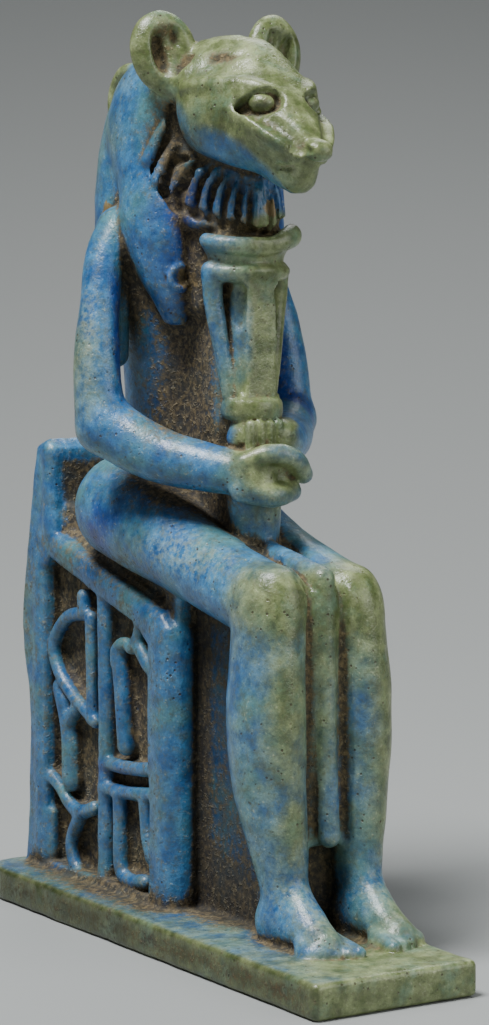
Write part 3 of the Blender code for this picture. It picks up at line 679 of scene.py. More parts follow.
# Level sections of the head: z, then (x, y) from the front middle round the figure's left to the back.
HEAD_SECTIONS = (
    (50.0, ((0, -7.3), (0.35, -7.2), (0.5, -6.95), (0.5, -6.7), (0.45, -6.5), (0.3, -6.35), (0, -6.3))),
    (50.4, ((0, -7.75), (0.7, -7.5), (1.0, -7.0), (1.1, -6.4), (0.95, -5.9), (0.6, -5.6), (0, -5.5))),
    (50.8, ((0, -8.0), (0.8, -7.7), (1.2, -7.0), (1.35, -6.2), (1.3, -5.3), (0.9, -4.8), (0, -4.6))),
    (51.3, ((0, -8.15), (0.85, -7.9), (1.4, -7.0), (1.65, -6.0), (1.75, -4.8), (1.5, -4.0), (0, -3.0))),
    (51.8, ((0, -8.5), (0.95, -8.25), (1.6, -7.2), (1.95, -5.9), (2.3, -4.2), (2.5, -2.3), (0, -1.0))),
    (52.4, ((0, -8.7), (1.1, -8.45), (1.9, -7.3), (2.4, -5.8), (2.95, -3.6), (3.4, -1.0), (0, 3.0))),
    (52.9, ((0, -8.7), (1.3, -8.5), (2.1, -7.4), (2.65, -5.9), (3.3, -3.4), (3.8, 0.2), (0, 4.5))),
    (53.6, ((0, -8.6), (1.05, -8.4), (2.3, -7.4), (3.0, -5.9), (3.6, -3.2), (4.15, 1.0), (0, 5.0))),
    (54.5, ((0, -8.0), (0.85, -7.8), (2.3, -6.9), (3.15, -5.8), (3.8, -2.9), (4.4, 1.4), (0, 5.5))),
    (55.5, ((0, -7.05), (0.8, -6.85), (2.0, -6.2), (3.05, -5.2), (3.95, -2.7), (4.5, 1.6), (0, 6.0))),
    (56.5, ((0, -6.3), (0.8, -6.15), (1.9, -5.85), (2.85, -5.0), (3.9, -2.6), (4.5, 1.6), (0, 6.0))),
    (57.5, ((0, -5.3), (0.8, -5.2), (1.75, -4.9), (2.6, -4.1), (3.7, -2.0), (4.3, 1.6), (0, 6.0))),
    (58.3, ((0, -4.45), (0.8, -4.4), (1.6, -4.0), (2.4, -3.0), (3.3, -1.0), (3.9, 1.8), (0, 6.0))),
    (59.3, ((0, -3.4), (0.8, -3.2), (1.5, -2.75), (2.1, -1.9), (2.8, -0.3), (3.4, 2.0), (0, 6.0))),
    (60.0, ((0, -2.5), (0.7, -2.3), (1.2, -1.8), (1.7, -1.0), (2.2, 0.2), (2.7, 2.2), (0, 6.0))),
    (60.5, ((0, -1.3), (0.5, -1.15), (0.9, -0.8), (1.3, -0.2), (1.6, 0.6), (1.9, 2.4), (0, 5.5))),
    (60.7, ((0, 0.2), (0.2, 0.3), (0.4, 0.5), (0.6, 0.8), (0.8, 1.4), (0.9, 2.4), (0, 4.5))),
)

# Locks of the ruff on the figure's left: from the jaw to the lower edge.
RUFF_LOCKS = (
    ((4.15, 2.9, 55.3), (4.45, 4.0, 53.8), (4.6, 4.7, 52.2)),
    ((4.1, 1.9, 54.2), (4.4, 3.2, 52.4), (4.4, 4.0, 50.7)),
    ((3.9, 1.0, 52.9), (4.1, 2.2, 51.2), (4.1, 2.9, 49.6)),
    ((3.6, 0.1, 52.0), (3.85, 1.0, 50.6), (3.9, 1.6, 49.0)),
    ((3.15, -0.7, 51.5), (3.4, -0.1, 50.1), (3.5, 0.2, 48.6)),
    ((2.55, -1.35, 51.2), (2.75, -0.95, 49.8), (2.85, -0.8, 48.2)),
    ((1.85, -1.8, 51.0), (1.95, -1.5, 49.6), (2.0, -1.4, 47.9)),
    ((1.05, -2.05, 50.9), (1.1, -1.85, 49.4), (1.15, -1.8, 47.7)),
    ((0.35, -2.2, 50.8), (0.35, -2.0, 49.3), (0.4, -1.95, 47.6)),
)
LOCK_RADII, LOCK_HEIGHT, LOCK_FILLET = (0.34, 0.5, 0.52), 0.38, 0.08
GAP_RADII, GAP_DEPTH, GAP_FILLET = (0.3, 0.3, 0.26), 0.42, 0.08
COLLAR = (((0, 2.6, 47.5, 3.35, 4.3), (0, 2.6, 48.2, 3.6, 4.55), (0, 2.7, 50.0, 3.5, 4.5),
           (0, 3.0, 52.0, 3.5, 4.6), (0, 3.4, 53.6, 3.4, 4.4)), 0.4, 0.3)
# Lower edge of the ruff, in front of and below the ends of the locks.
EDGE_FORWARD, EDGE_DOWN = 0.1, 0.35
EDGE_RADIUS, EDGE_DEPTH, EDGE_FILLET = 0.42, 0.5, 0.15
JAW_LINE = (((4.1, 2.9, 55.9), (4.15, 2.5, 55.0), (4.0, 1.5, 53.9), (3.8, 0.6, 52.9), (3.5, -0.3, 52.1)),
            (0.25, 0.5, 0.7, 0.6, 0.35), 0.5, 0.25)


def ruff(clay):
    """Collar of fur that spreads from the jaw, cut into separate locks."""
    add_lofts(clay, [COLLAR])
    for side in SIDES:
        for lock in RUFF_LOCKS:
            clay.ridge(sided(lock, side), LOCK_RADII, LOCK_HEIGHT, LOCK_FILLET)
        for lock, after in zip(RUFF_LOCKS, RUFF_LOCKS[1:]):
            gap = [tuple((a + b) / 2 for a, b in zip(*pair)) for pair in zip(lock, after)]
            clay.groove(sided(gap, side), GAP_RADII, GAP_DEPTH, GAP_FILLET)
        edge = [(side * x, y - EDGE_FORWARD, z - EDGE_DOWN) for _, _, (x, y, z) in RUFF_LOCKS]
        clay.groove(edge, EDGE_RADIUS, EDGE_DEPTH, EDGE_FILLET)
        cut_grooves(clay, [JAW_LINE], side)


HEAD_FILLET = 0.2
NOSE = ((0, -9.15, 52.75), (1.05, 1.0, 0.75), (12, 0, 0), 0.35)


def head(clay):
    """Lioness head: low flat skull, straight nose, narrow muzzle and small chin."""
    clay.add(stack(HEAD_SECTIONS), HEAD_FILLET)
    add_eggs(clay, [NOSE])


# Raised lines of the face: points, radii, height, fillet. The brow, then the ridge below the eye.
FACE_RIDGES = (
    (((4.3, 0.6, 57.1), (3.9, -1.6, 57.4), (3.1, -3.8, 57.4), (2.3, -5.0, 57.2), (1.5, -6.1, 56.8)),
     (0.4, 0.6, 0.65, 0.5, 0.3), 0.32, 0.4),
    (((3.6, -3.5, 55.6), (3.1, -5.2, 54.9), (2.75, -6.2, 54.3), (2.2, -7.3, 53.6), (1.55, -8.3, 52.9),
      (0.95, -8.5, 51.9)), (0.3, 0.45, 0.5, 0.5, 0.4, 0.3), 0.16, 0.35),
)
EYE_SOCKET = ((3.6, -4.2, 55.65), (2.9, -5.4, 55.8), (2.0, -6.3, 56.15), (1.4, -6.7, 56.35))
SOCKET_RADII, SOCKET_FILLET = (0.3, 0.85, 0.95, 0.4), 0.12
# The right eye, on the side of the camera, is carved deeper.
SOCKET_DEPTHS = {-1: 0.85, 1: 0.55}
EYE, EYE_RADII, EYE_TURN, EYE_FILLET = (1.95, -5.22, 55.95), (0.88, 0.66, 0.62), 42, 0.06
# Cut lines: forehead, fold beside the nose, nostril, mark above the brow, mouth.
FACE_GROOVES = (
    (((3.6, -1.0, 58.7), (2.9, -2.0, 59.3), (2.0, -2.6, 59.7)), (0.3, 0.42, 0.3), 0.1, 0.2),
    (((2.75, -5.9, 55.0), (2.1, -6.9, 54.45), (1.6, -7.8, 53.75), (1.2, -8.5, 53.2)),
     (0.6, 0.85, 0.75, 0.5), 0.42, 0.3),
    (((1.5, -8.4, 53.1), (1.15, -8.9, 52.9), (0.85, -9.6, 52.65)), (0.3, 0.34, 0.24), 0.28, 0.1),
    (((2.6, -1.6, 59.5), (2.9, -1.0, 59.1), (3.2, -0.2, 58.6)), (0.3, 0.4, 0.3), 0.14, 0.15),
    (((0.15, -8.9, 51.95), (0.9, -8.5, 51.6), (1.5, -7.6, 51.5), (1.75, -6.6, 51.6)),
     (0.28, 0.28, 0.24, 0.18), 0.2, 0.12),
)


def face(clay):
    """Brows, sunk eyes, the fold beside the nose, nostrils and mouth."""
    for side in SIDES:
        for points, radii, height, fillet in FACE_RIDGES:
            clay.ridge(sided(points, side), radii, height, fillet)
        clay.groove(sided(EYE_SOCKET, side), SOCKET_RADII, SOCKET_DEPTHS[side], SOCKET_FILLET)
        add_eggs(clay, [(EYE, EYE_RADII, (0, 0, side * EYE_TURN), EYE_FILLET)], side)
        cut_grooves(clay, FACE_GROOVES, side)


EAR, EAR_RADII, EAR_FILLET = (4.5, 3.3, 59.6), (2.45, 1.15, 2.95), 0.5
EAR_TURN = (-6, 12, 10)
# Hollow of the ear, its deep rim and its upper corner: middle, radii, fillet.
EAR_HOLLOWS = (((4.55, 1.95, 59.95), (1.6, 0.75, 2.0), 0.25), ((5.25, 2.35, 59.6), (0.62, 0.95, 1.6), 0.2),
               ((4.1, 2.2, 60.6), (0.5, 0.75, 0.9), 0.2))


def ears(clay):
    """Thick round ears facing forward, each hollow deepest by its outer rim."""
    for side in SIDES:
        turn = (EAR_TURN[0], side * EAR_TURN[1], side * EAR_TURN[2])
        add_eggs(clay, [(EAR, EAR_RADII, turn, EAR_FILLET)], side)
        for centre, radii, fillet in EAR_HOLLOWS:
            clay.cut(egg(*sided([centre], side), radii, turn), fillet)


LOOP_CENTRE = np.array((0, 15.2, 56.7))
LOOP_RADII, LOOP_WIRE, LOOP_WIDTH, LOOP_FILLET = (2.35, 2.25), 0.62, 1.2, 0.3
LOOP_HALF_WIDTH = 1.0


def loop(clay):
    """Suspension loop behind the head, its hole running from side to side."""
    def distance(x, y, z):
        u, v = (y - LOOP_CENTRE[1]) / LOOP_RADII[0], (z - LOOP_CENTRE[2]) / LOOP_RADII[1]
        around = (np.sqrt(u * u + v * v) - 1) * sum(LOOP_RADII) / 2
        return np.sqrt(around ** 2 + (x / LOOP_WIDTH) ** 2) - LOOP_WIRE

    reach = np.array([LOOP_HALF_WIDTH, LOOP_RADII[0] + LOOP_WIRE, LOOP_RADII[1] + LOOP_WIRE])
    clay.add((LOOP_CENTRE - reach, LOOP_CENTRE + reach, distance), LOOP_FILLET)


CLAY_LOW, CLAY_HIGH = (-10.4, -21.8, -3.2), (10.4, 25.4, 63.4)
FORMS = (plinth, throne, legs, lap, feet, torso, wig, arms, sceptre, hands, ruff, head, face, ears, loop)


def sculpt():
    clay = Clay(CLAY_LOW, CLAY_HIGH, STEP)
    for form in FORMS:
        form(clay)
    return clay


def skin(clay):
    """Closed mesh at the clay's surface: one corner in each cell that it crosses."""
    f = clay.field
    inside = f < 0
    corners = [(dx, dy, dz) for dx in (0, 1) for dy in (0, 1) for dz in (0, 1)]
    size = np.array(f.shape)

    def corner(array, offset):
        return array[tuple(slice(o, size[k] - 1 + o) for k, o in enumerate(offset))]

    count = sum(corner(inside, c).astype(np.int8) for c in corners)
    cells = np.argwhere((count > 0) & (count < 8))
    value = {c: f[cells[:, 0] + c[0], cells[:, 1] + c[1], cells[:, 2] + c[2]] for c in corners}
    total, hits = np.zeros((len(cells), 3)), np.zeros(len(cells))
    for a in corners:
        for axis in range(3):
            if a[axis]:
                continue
            b = tuple(1 if k == axis else a[k] for k in range(3))
            crossed = (value[a] < 0) != (value[b] < 0)
            t = np.where(crossed, value[a] / np.where(crossed, value[a] - value[b], 1), 0)
            point = np.tile(np.array(a, float), (len(cells), 1))
            point[:, axis] += t
            total += point * crossed[:, None]
            hits += crossed
    points = clay.low + clay.step * (cells + total / hits[:, None])
    index = np.full(size - 1, -1, np.int64)
    index[cells[:, 0], cells[:, 1], cells[:, 2]] = np.arange(len(cells))
    quads = []
    for axis in range(3):
        u, v = (axis + 1) % 3, (axis + 2) % 3
        ahead = np.take(inside, range(1, size[axis]), axis)
        here = np.take(inside, range(0, size[axis] - 1), axis)
        edges = np.argwhere(here != ahead)
        edges = edges[(edges[:, u] > 0) & (edges[:, v] > 0) & (edges[:, u] < size[u] - 1)
                      & (edges[:, v] < size[v] - 1)]
        step_u, step_v = np.eye(3, dtype=int)[u], np.eye(3, dtype=int)[v]
        ring = [edges - step_u - step_v, edges - step_v, edges, edges - step_u]
        quad = np.stack([index[r[:, 0], r[:, 1], r[:, 2]] for r in ring], 1)
        solid_first = inside[edges[:, 0], edges[:, 1], edges[:, 2]]
        quad[~solid_first] = quad[~solid_first][:, ::-1]
        quads.append(quad)
    return points, np.concatenate(quads)


def make_mesh(name, points, quads):
    mesh = bpy.data.meshes.new(name)
    mesh.from_pydata(points.tolist(), [], quads.tolist())
    mesh.update()
    return mesh


def thinned(obj, most):
    """The object's mesh with few enough triangles, kept where the form turns."""
    mesh = obj.data
    mesh.calc_loop_triangles()
    if len(mesh.loop_triangles) > most:
        step = obj.modifiers.new("thin", "DECIMATE")
        step.ratio = most / len(mesh.loop_triangles)
        obj.data = bpy.data.meshes.new_from_object(obj.evaluated_get(bpy.context.evaluated_depsgraph_get()))
        obj.modifiers.clear()


def lattice(count, fine, spacing):
    """Weights that spread values from knots at the given spacing over a fine row, smoothly."""
    place = fine / spacing
    knots = np.arange(count) - 1
    t = np.abs(place[:, None] - knots[None, :])
    near = 2 / 3 - t ** 2 + t ** 3 / 2
    far = np.clip(2 - t, 0, None) ** 3 / 6
    return np.where(t < 1, near, far).astype(np.float32)


# Brings the smoothed random values back to about -1 to 1.
GRAIN_GAIN = 1.8


def grain(clay, spacing, seed):
    """Smooth random values over the clay, between about -1 and 1, with bumps of the given size."""
    rows = []
    counts = []
    for axis in clay.axes:
        fine = axis - axis[0]
        counts.append(int(fine[-1] / spacing) + 4)
        rows.append(lattice(counts[-1], fine, spacing))
    knots = np.random.default_rng(seed).uniform(-1, 1, counts).astype(np.float32)
    out = np.tensordot(rows[0], knots, (1, 0))
    out = np.tensordot(out, rows[1], (1, 1))
    out = np.tensordot(out, rows[2], (1, 1))
    return out * GRAIN_GAIN


# Waves of the surface: spacing, height, seed. Dents lie where their grain is high.
WAVES = ((3.4, 0.05, 11), (1.3, 0.045, 12), (0.62, 0.028, 13))
DENT_SPACING, DENT_SEED, DENT_DEPTH = 0.85, 21, 0.10
DENT_EDGE, DENT_MIDDLE = 0.62, 1.05


def weather(clay):
    """Uneven surface of a moulded and glazed piece: waves, and shallow dents."""
    for spacing, height, seed in WAVES:
        clay.field += height * grain(clay, spacing, seed)
    dents = grain(clay, DENT_SPACING, DENT_SEED)
    clay.field += DENT_DEPTH * ease(dents, DENT_EDGE, DENT_MIDDLE)


def blurred(field, cells):
    """Mean of the field in a box of so many cells to each side."""
    out = field
    for axis in range(3):
        size = out.shape[axis]
        total = np.cumsum(out, axis, dtype=np.float32)
        total = np.concatenate([np.zeros_like(np.take(total, [0], axis)), total], axis)
        upper = np.minimum(np.arange(size) + cells + 1, size)
        lower = np.maximum(np.arange(size) - cells, 0)
        width = (upper - lower).astype(np.float32)
        shape = [1, 1, 1]
        shape[axis] = size
        out = (np.take(total, upper, axis) - np.take(total, lower, axis)) / width.reshape(shape)
    return out


def crowding(clay, points, reach):
    """How much the clay closes round each point: 0 on a flat face, above in a hollow, below on an edge."""
    filled = (clay.field < 0).astype(np.float32)
    cells = max(1, round(reach / clay.step / 2))
    return 2 * clay.sample(points, blurred(blurred(filled, cells), cells)) - 1


def soft(points, centre, radii):
    return np.exp(-(((points - np.array(centre)) / np.array(radii)) ** 2).sum(1))


# Patches of the glaze: middle, reach along x, y and z, and amount.
GREEN_PATCHES = (
    ((0.0, -2.8, 33.4), (3.0, 1.6, 1.4), 0.85), ((0.0, -2.6, 36.6), (3.0, 1.8, 1.6), 0.5),
    ((-9.6, 7.4, 41.0), (1.0, 2.4, 7.0), 0.35), ((-2.6, -14.6, 1.0), (2.4, 2.0, 1.6), 0.45),
    ((3.2, -13.6, 1.4), (2.6, 3.0, 2.0), 0.5), ((-3.0, -10.6, 3.2), (2.2, 2.6, 2.6), 0.3),
    ((0.0, -18.5, 0.0), (7.0, 3.0, 0.6), 0.5), ((2.6, -15.0, 0.0), (3.4, 5.0, 0.5), 0.4),
    ((0.8, -1.2, 45.5), (2.6, 2.6, 2.6), 0.95), ((1.2, -2.4, 40.5), (1.6, 1.5, 3.4), 0.8),
    ((-0.6, -3.0, 35.4), (2.6, 1.6, 1.3), 0.6), ((-0.2, -4.2, 30.8), (3.2, 2.2, 2.4), 1.1),
    ((-1.4, -3.2, 32.5), (1.6, 1.4, 1.6), 0.45), ((0.0, -2.6, 27.5), (2.2, 1.6, 1.6), 0.5),
    ((-3.2, -9.0, 23.0), (2.6, 3.2, 2.6), 0.75), ((3.2, -9.4, 22.6), (2.8, 2.6, 3.2), 0.8),
    ((0.0, -10.2, 16.0), (1.6, 1.2, 9.0), 0.4), ((-3.6, -11.0, 15.5), (1.6, 1.2, 5.0), 0.55),
    ((4.6, -9.8, 14.0), (1.6, 3.0, 9.0), 0.5), ((-3.2, -11.6, 8.0), (1.2, 1.2, 2.4), 0.4),
    ((-8.6, 6.8, 36.0), (1.4, 2.2, 6.5), 0.5), ((8.6, 6.8, 36.0), (1.4, 2.2, 6.5), 0.4),
    ((-5.2, 1.2, 32.4), (1.8, 1.8, 1.4), 0.4), ((-4.6, 9.0, 54.0), (1.8, 4.0, 4.5), 0.42),
    ((0.0, 23.6, 20.0), (7.0, 2.0, 14.0), 0.8), ((0.0, 9.5, 58.5), (5.0, 3.0, 2.2), 0.45),
    ((-3.0, -14.5, 1.4), (2.2, 2.0, 1.4), 0.3), ((3.4, -14.5, 1.4), (2.6, 2.4, 1.6), 0.35),
    ((-4.4, -1.6, 54.2), (1.2, 3.6, 1.6), 0.5), ((-5.0, 2.6, 8.0), (1.0, 1.4, 6.0), 0.3),
    ((0.0, 18.0, 48.0), (4.0, 3.0, 9.0), 0.25),
)
DEEP_PATCHES = (
    ((-3.8, 3.6, 46.0), (2.2, 3.2, 5.0), 0.65), ((3.8, 3.6, 46.0), (2.2, 3.2, 5.0), 0.65),
    ((-5.6, 9.0, 26.5), (2.2, 4.5, 3.0), 0.75), ((5.6, 9.0, 26.5), (2.2, 4.5, 3.0), 0.75),
    ((-6.5, 6.0, 40.0), (0.9, 2.0, 7.0), 0.8),
    ((6.5, 6.0, 40.0), (0.9, 2.0, 7.0), 0.8), ((0.0, 4.0, 38.0), (3.6, 3.0, 7.0), 0.55),
    ((-2.6, 0.6, 50.0), (2.8, 3.2, 2.6), 0.5),
    ((2.6, 0.6, 50.0), (2.8, 3.2, 2.6), 0.6), ((-4.6, 12.0, 8.5), (1.2, 8.0, 2.0), 0.6),
    ((-7.4, 4.4, 33.0), (1.6, 1.6, 1.2), 0.5), ((7.8, 4.4, 34.0), (1.6, 3.0, 3.0), 0.6),
    ((-1.9, -8.4, 12.0), (1.0, 2.2, 10.0), 0.4), ((-5.2, -7.0, 14.0), (1.0, 1.8, 9.0), 0.5),
    ((-5.4, -12.5, 0.0), (2.4, 4.5, 0.7), 0.5),
)
# Burial dirt in the recesses; in the eye sockets and round the nostril it is painted shade as well.
GRIME_AND_SHADE_PATCHES = (
    ((0.0, 4.4, 40.0), (5.6, 4.2, 5.5), 0.95), ((0.0, 4.4, 34.5), (5.6, 4.6, 4.0), 1.1),
    ((-2.6, 4.0, 29.3), (3.4, 5.6, 2.0), 1.2), ((2.6, 4.0, 29.3), (3.4, 5.6, 2.0), 1.2),
    ((-3.6, 1.0, 50.2), (1.6, 2.6, 2.8), 0.8), ((-1.6, -1.6, 49.4), (2.2, 1.0, 2.0), 0.6),
    ((3.0, 0.0, 49.6), (2.0, 2.4, 2.4), 0.5), ((-2.6, -5.9, 56.0), (1.2, 1.2, 0.55), 0.5),
    ((-1.7, -6.7, 56.6), (0.42, 0.6, 0.4), 0.9), ((-3.3, -4.9, 55.8), (0.5, 0.6, 0.35), 0.8),
    ((-2.7, -1.2, 59.1), (0.9, 1.3, 0.4), 1.3), ((-0.9, -4.0, 59.1), (0.5, 0.8, 0.4), 1.0),
    ((-4.1, 0.8, 57.1), (0.5, 0.5, 0.4), 1.3), ((-2.2, -7.1, 54.7), (0.8, 0.9, 0.6), 0.7),
    ((-1.1, -8.8, 53.0), (0.5, 0.6, 0.35), 0.9), ((-1.2, -8.0, 51.6), (0.8, 0.8, 0.25), 0.4),
    ((-4.6, 2.6, 33.8), (2.6, 3.0, 1.1), 0.75), ((-2.9, 1.6, 42.4), (0.9, 0.9, 2.6), 1.0),
    ((-4.0, -1.8, 53.2), (1.0, 3.4, 1.4), 0.35), ((0.0, 1.0, 47.6), (3.4, 2.4, 1.0), 0.8),
    ((0.0, 2.0, 43.5), (3.6, 1.8, 4.0), 0.9),
    ((2.6, -5.9, 56.0), (1.2, 1.2, 0.55), 0.5), ((-5.2, 2.6, 59.8), (0.9, 1.2, 1.7), 1.2),
    ((-4.4, 3.4, 52.4), (1.2, 2.4, 3.2), 1.0), ((-4.6, 3.0, 61.2), (0.7, 1.0, 0.8), 0.8),
    ((-4.1, 2.0, 60.6), (0.6, 1.0, 0.9), 0.6), ((5.2, 2.2, 59.6), (0.9, 1.0, 1.7), 0.6),
    ((0.0, 6.0, 0.3), (6.5, 4.0, 0.5), 0.6), ((-3.6, -2.0, 0.3), (2.2, 4.0, 0.8), 0.8),
    ((-5.0, 12.0, 24.5), (1.0, 7.0, 3.0), 0.45), ((5.0, 12.0, 24.5), (1.0, 7.0, 3.0), 0.45),
    ((0.0, -2.2, 1.0), (4.2, 5.0, 2.6), 1.0), ((0.0, -9.0, 1.5), (1.4, 3.4, 3.0), 1.0),
    ((-6.2, 11.0, 0.2), (1.6, 11.0, 0.8), 0.85), ((5.0, 11.0, 0.2), (1.0, 11.0, 0.8), 0.8),
    ((-1.2, -14.0, 0.2), (2.2, 2.6, 0.7), 0.5), ((-2.6, -2.0, 47.7), (2.6, 2.0, 0.9), 1.0),
    ((-4.3, 2.2, 53.0), (0.8, 1.6, 2.4), 0.8), ((4.3, 2.2, 53.0), (0.8, 1.6, 2.4), 0.8),
    ((-4.6, 6.2, 45.8), (0.8, 2.0, 2.2), 0.7), ((4.6, 6.2, 45.8), (0.8, 2.0, 2.2), 0.7),
    ((0.0, -3.4, 25.6), (2.2, 1.0, 0.8), 0.6), ((-3.5, -3.0, 20.5), (1.4, 3.0, 1.4), 0.45),
    ((0.0, 17.0, 30.5), (5.0, 1.6, 1.8), 0.6), ((-2.8, -2.5, 59.3), (0.9, 0.9, 0.6), 0.35),
)
OCHRE_PATCHES = (
    ((0.9, -2.1, 49.0), (0.9, 1.2, 0.7), 1.0), ((-5.0, 10.2, 48.4), (1.2, 1.3, 1.0), 1.0),
    ((-5.2, 8.2, 47.7), (0.9, 0.9, 0.9), 0.9), ((-3.2, 2.0, 44.0), (0.9, 1.0, 1.1), 0.9),
    ((0.8, -2.6, 58.9), (0.6, 0.6, 0.5), 0.7), ((-5.5, -19.5, -1.8), (1.2, 1.5, 0.6), 0.5),
    ((-6.6, 9.0, 46.2), (0.7, 0.9, 0.9), 0.6), ((2.8, -19.8, -2.2), (1.0, 1.0, 0.5), 0.5),
    ((-8.1, 12.0, -1.2), (0.6, 1.4, 0.5), 0.4), ((-4.9, 19.6, 27.0), (0.5, 0.7, 1.2), 0.6),
)
# Painted highlights: pale sheen along the top of the right thigh, the outer right arm, the tops of the feet,
# the chin and the brow.
SHEEN_PATCHES = (
    ((-5.4, -0.8, 25.4), (1.4, 5.5, 1.4), 1.0), ((-8.8, 6.4, 41.0), (0.9, 1.4, 5.0), 0.8),
    ((-3.0, -11.6, 2.6), (1.4, 2.6, 1.8), 1.0), ((3.0, -11.6, 2.6), (1.4, 2.6, 1.8), 1.0),
    ((-1.2, -7.8, 51.3), (0.5, 0.8, 0.8), 1.0), ((-3.4, -3.2, 57.6), (0.7, 1.8, 0.5), 0.9),
)
# Painted shade: glaze darkened in the eye sockets and their corners, round the nostril and mouth, along the
# jaw and under the ruff, in the ear hollow, between arm and chest, under the forearm, over the belly and
# between the ankles.
PAINTED_SHADE_PATCHES = (
    ((-2.4, 2.4, 28.8), (3.6, 5.0, 1.6), 0.2), ((-2.0, -1.2, 49.8), (3.0, 2.4, 2.4), 0.35),
    ((-4.6, 6.6, 39.0), (0.9, 2.4, 6.0), 0.7), ((0.0, -9.5, 2.6), (1.1, 3.6, 3.2), 0.8),
    ((-3.4, 0.6, 50.2), (2.0, 3.0, 2.4), 0.4),
    ((-1.7, -6.7, 56.6), (0.42, 0.6, 0.4), 0.6), ((-3.3, -4.9, 55.8), (0.5, 0.6, 0.35), 0.6),
    ((-2.5, -5.6, 55.6), (1.3, 1.1, 0.7), 0.8), ((-1.7, -8.1, 53.3), (0.9, 1.1, 0.6), 0.7),
    ((-1.1, -8.9, 52.1), (1.1, 1.0, 0.3), 0.3), ((-2.4, -6.6, 54.6), (0.8, 0.8, 0.5), 0.25),
    ((-4.3, -1.8, 54.0), (1.2, 3.8, 1.8), 0.6), ((-5.2, 3.2, 60.0), (0.6, 0.8, 1.4), 0.5),
    ((2.2, -6.2, 56.2), (1.0, 1.0, 0.5), 0.4), ((-1.7, -7.9, 54.0), (0.6, 1.0, 0.6), 0.3),
    ((-6.2, 0.8, 30.2), (2.4, 3.4, 1.1), 0.4),
)

# Regions of the glaze: soft steps that are multiplied, each a measure, where it is none and where it is full.
# The measures are x, y, z, across (x to either side), face (above the green's edge on the head), near and
# wide (how much the clay closes round the point).
GREEN_FACE = (("face", -1.7, 1.2), ("y", 5.6, 3.4), ("z", 49.2, 50.0))
CROWN = (("z", 58.0, 59.2), ("y", 6.5, 4.5))
BEHIND_HEAD = (("y", 14.0, 15.5), ("z", 52.0, 54.0))
PLINTH_SIDES = (("z", 0.15, -0.35),)
PLINTH_RIM = (("z", 0.6, 0.0),)
SHIN_FRONTS = (("y", -5.0, -7.5), ("z", 27.0, 24.0), ("z", 2.0, 6.0))
LEFT_SHIN_FRONT = (*SHIN_FRONTS, ("x", 1.0, 4.0))
STEM = (("across", 3.6, 3.0), ("y", 1.6, 0.4), ("z", 33.5, 34.5), ("z", 49.0, 48.0))
LEFT_OF_STEM = (*STEM, ("x", -1.4, 0.2))
PANEL_FLOOR = (("across", THRONE_HALF - 0.7, THRONE_HALF - 1.3), ("y", 4.2, 5.2), ("y", 21.0, 20.2),
               ("z", 31.0, 30.0), ("z", -0.2, 0.4))
# Web behind the shins, where dirt lies and painted shade is laid in deep blue, soil colour and darkening.
BEHIND_SHINS = (("across", 3.6, 2.8), ("y", -6.2, -5.0), ("y", 4.2, 3.0), ("z", 22.0, 20.0))
THRONE_WALLS = (("y", 1.8, 3.0), ("z", 26.0, 24.0), ("z", -0.5, 0.5))
THRONE_SHADE = (("y", 1.5, 3.5), ("z", 26.0, 23.0), ("across", 3.2, 3.8))
# The plinth's long side: painted shade, laid as soil colour.
LONG_SIDE = (("z", 0.0, -0.6), ("x", -7.3, -7.8))
LONG_SIDE_SHADE = (("z", 0.2, -0.3), ("x", -7.4, -7.8))
SMALL_HOLLOWS = (("near", 0.12, 0.5),)
WIDE_HOLLOWS = (("wide", 0.06, 0.42),)
DEEP_HOLLOWS = (("wide", 0.3, 0.8),)
EDGES = (("near", -0.12, -0.5),)
RUFF_LEVELS = (("z", 54.0, 53.0), ("z", 47.0, 48.0))
HEAD_LEVELS = (("z", 50.0, 52.0),)

# Layers of the glaze: amount and region.
GREEN_REGIONS = ((1.2, GREEN_FACE), (1.0, CROWN), (1.0, BEHIND_HEAD), (0.95, PLINTH_SIDES), (0.3, PLINTH_RIM),
                 (0.36, SHIN_FRONTS), (0.12, LEFT_SHIN_FRONT), (0.38, STEM), (0.42, LEFT_OF_STEM))
# Painted shade: deep blue laid on the web behind the shins.
DEEP_SHADE_REGIONS = ((0.2, BEHIND_SHINS),)
# Burial dirt in small and wide hollows, the panel floors and the throne walls; behind the shins it is dirt
# and painted shade, and on the plinth's long side it is painted shade.
GRIME_AND_SHADE_REGIONS = ((0.6375, SMALL_HOLLOWS), (0.7225, WIDE_HOLLOWS), (0.95, PANEL_FLOOR), (0.55, BEHIND_SHINS),
                 (0.3, THRONE_WALLS), (0.3, LONG_SIDE))
# Painted shade: behind the shins, in deep hollows, on the plinth's long side and on the throne's sides.
PAINTED_SHADE_REGIONS = ((0.9, BEHIND_SHINS), (0.4, DEEP_HOLLOWS), (0.75, LONG_SIDE_SHADE), (0.3, THRONE_SHADE))
# Edge wear and painted edge highlights are weaker on the ruff and the head, and dirt and painted shade in the
# patches are weaker on open faces.
LESS_WEAR_AND_SHEEN_ON_RUFF, LESS_WEAR_AND_SHEEN_ON_HEAD = 0.8, 0.5
OPEN_FACE, CLOSED_FACE, DIRT_ON_OPEN_FACE = -0.3, 0.2, 0.5
NEAR_REACH, WIDE_REACH = 0.8, 2.6

# Lower edge of the green on the head: (y, z).
FACE_LINE = ((-7.4, 48.5), (-6.6, 51.0), (-5.9, 52.0), (-4.4, 53.7), (-2.8, 54.8), (-1.0, 55.6), (0.8, 56.2),
             (2.8, 56.6), (5.6, 57.0))


def patches(points, rows):
    return sum(amount * soft(points, centre, radii) for centre, radii, amount in rows)


def region(measures, steps):
    return math.prod(ease(measures[name], none, full) for name, none, full in steps)


def regions(measures, rows):
    return sum(amount * region(measures, steps) for amount, steps in rows)


def measured(p, clay):
    """What the regions are measured by, for each point."""
    x, y, z = p.T
    return {"x": x, "y": y, "z": z, "across": abs(x), "face": z - np.interp(y, *zip(*FACE_LINE)),
            "near": crowding(clay, p, NEAR_REACH), "wide": crowding(clay, p, WIDE_REACH)}


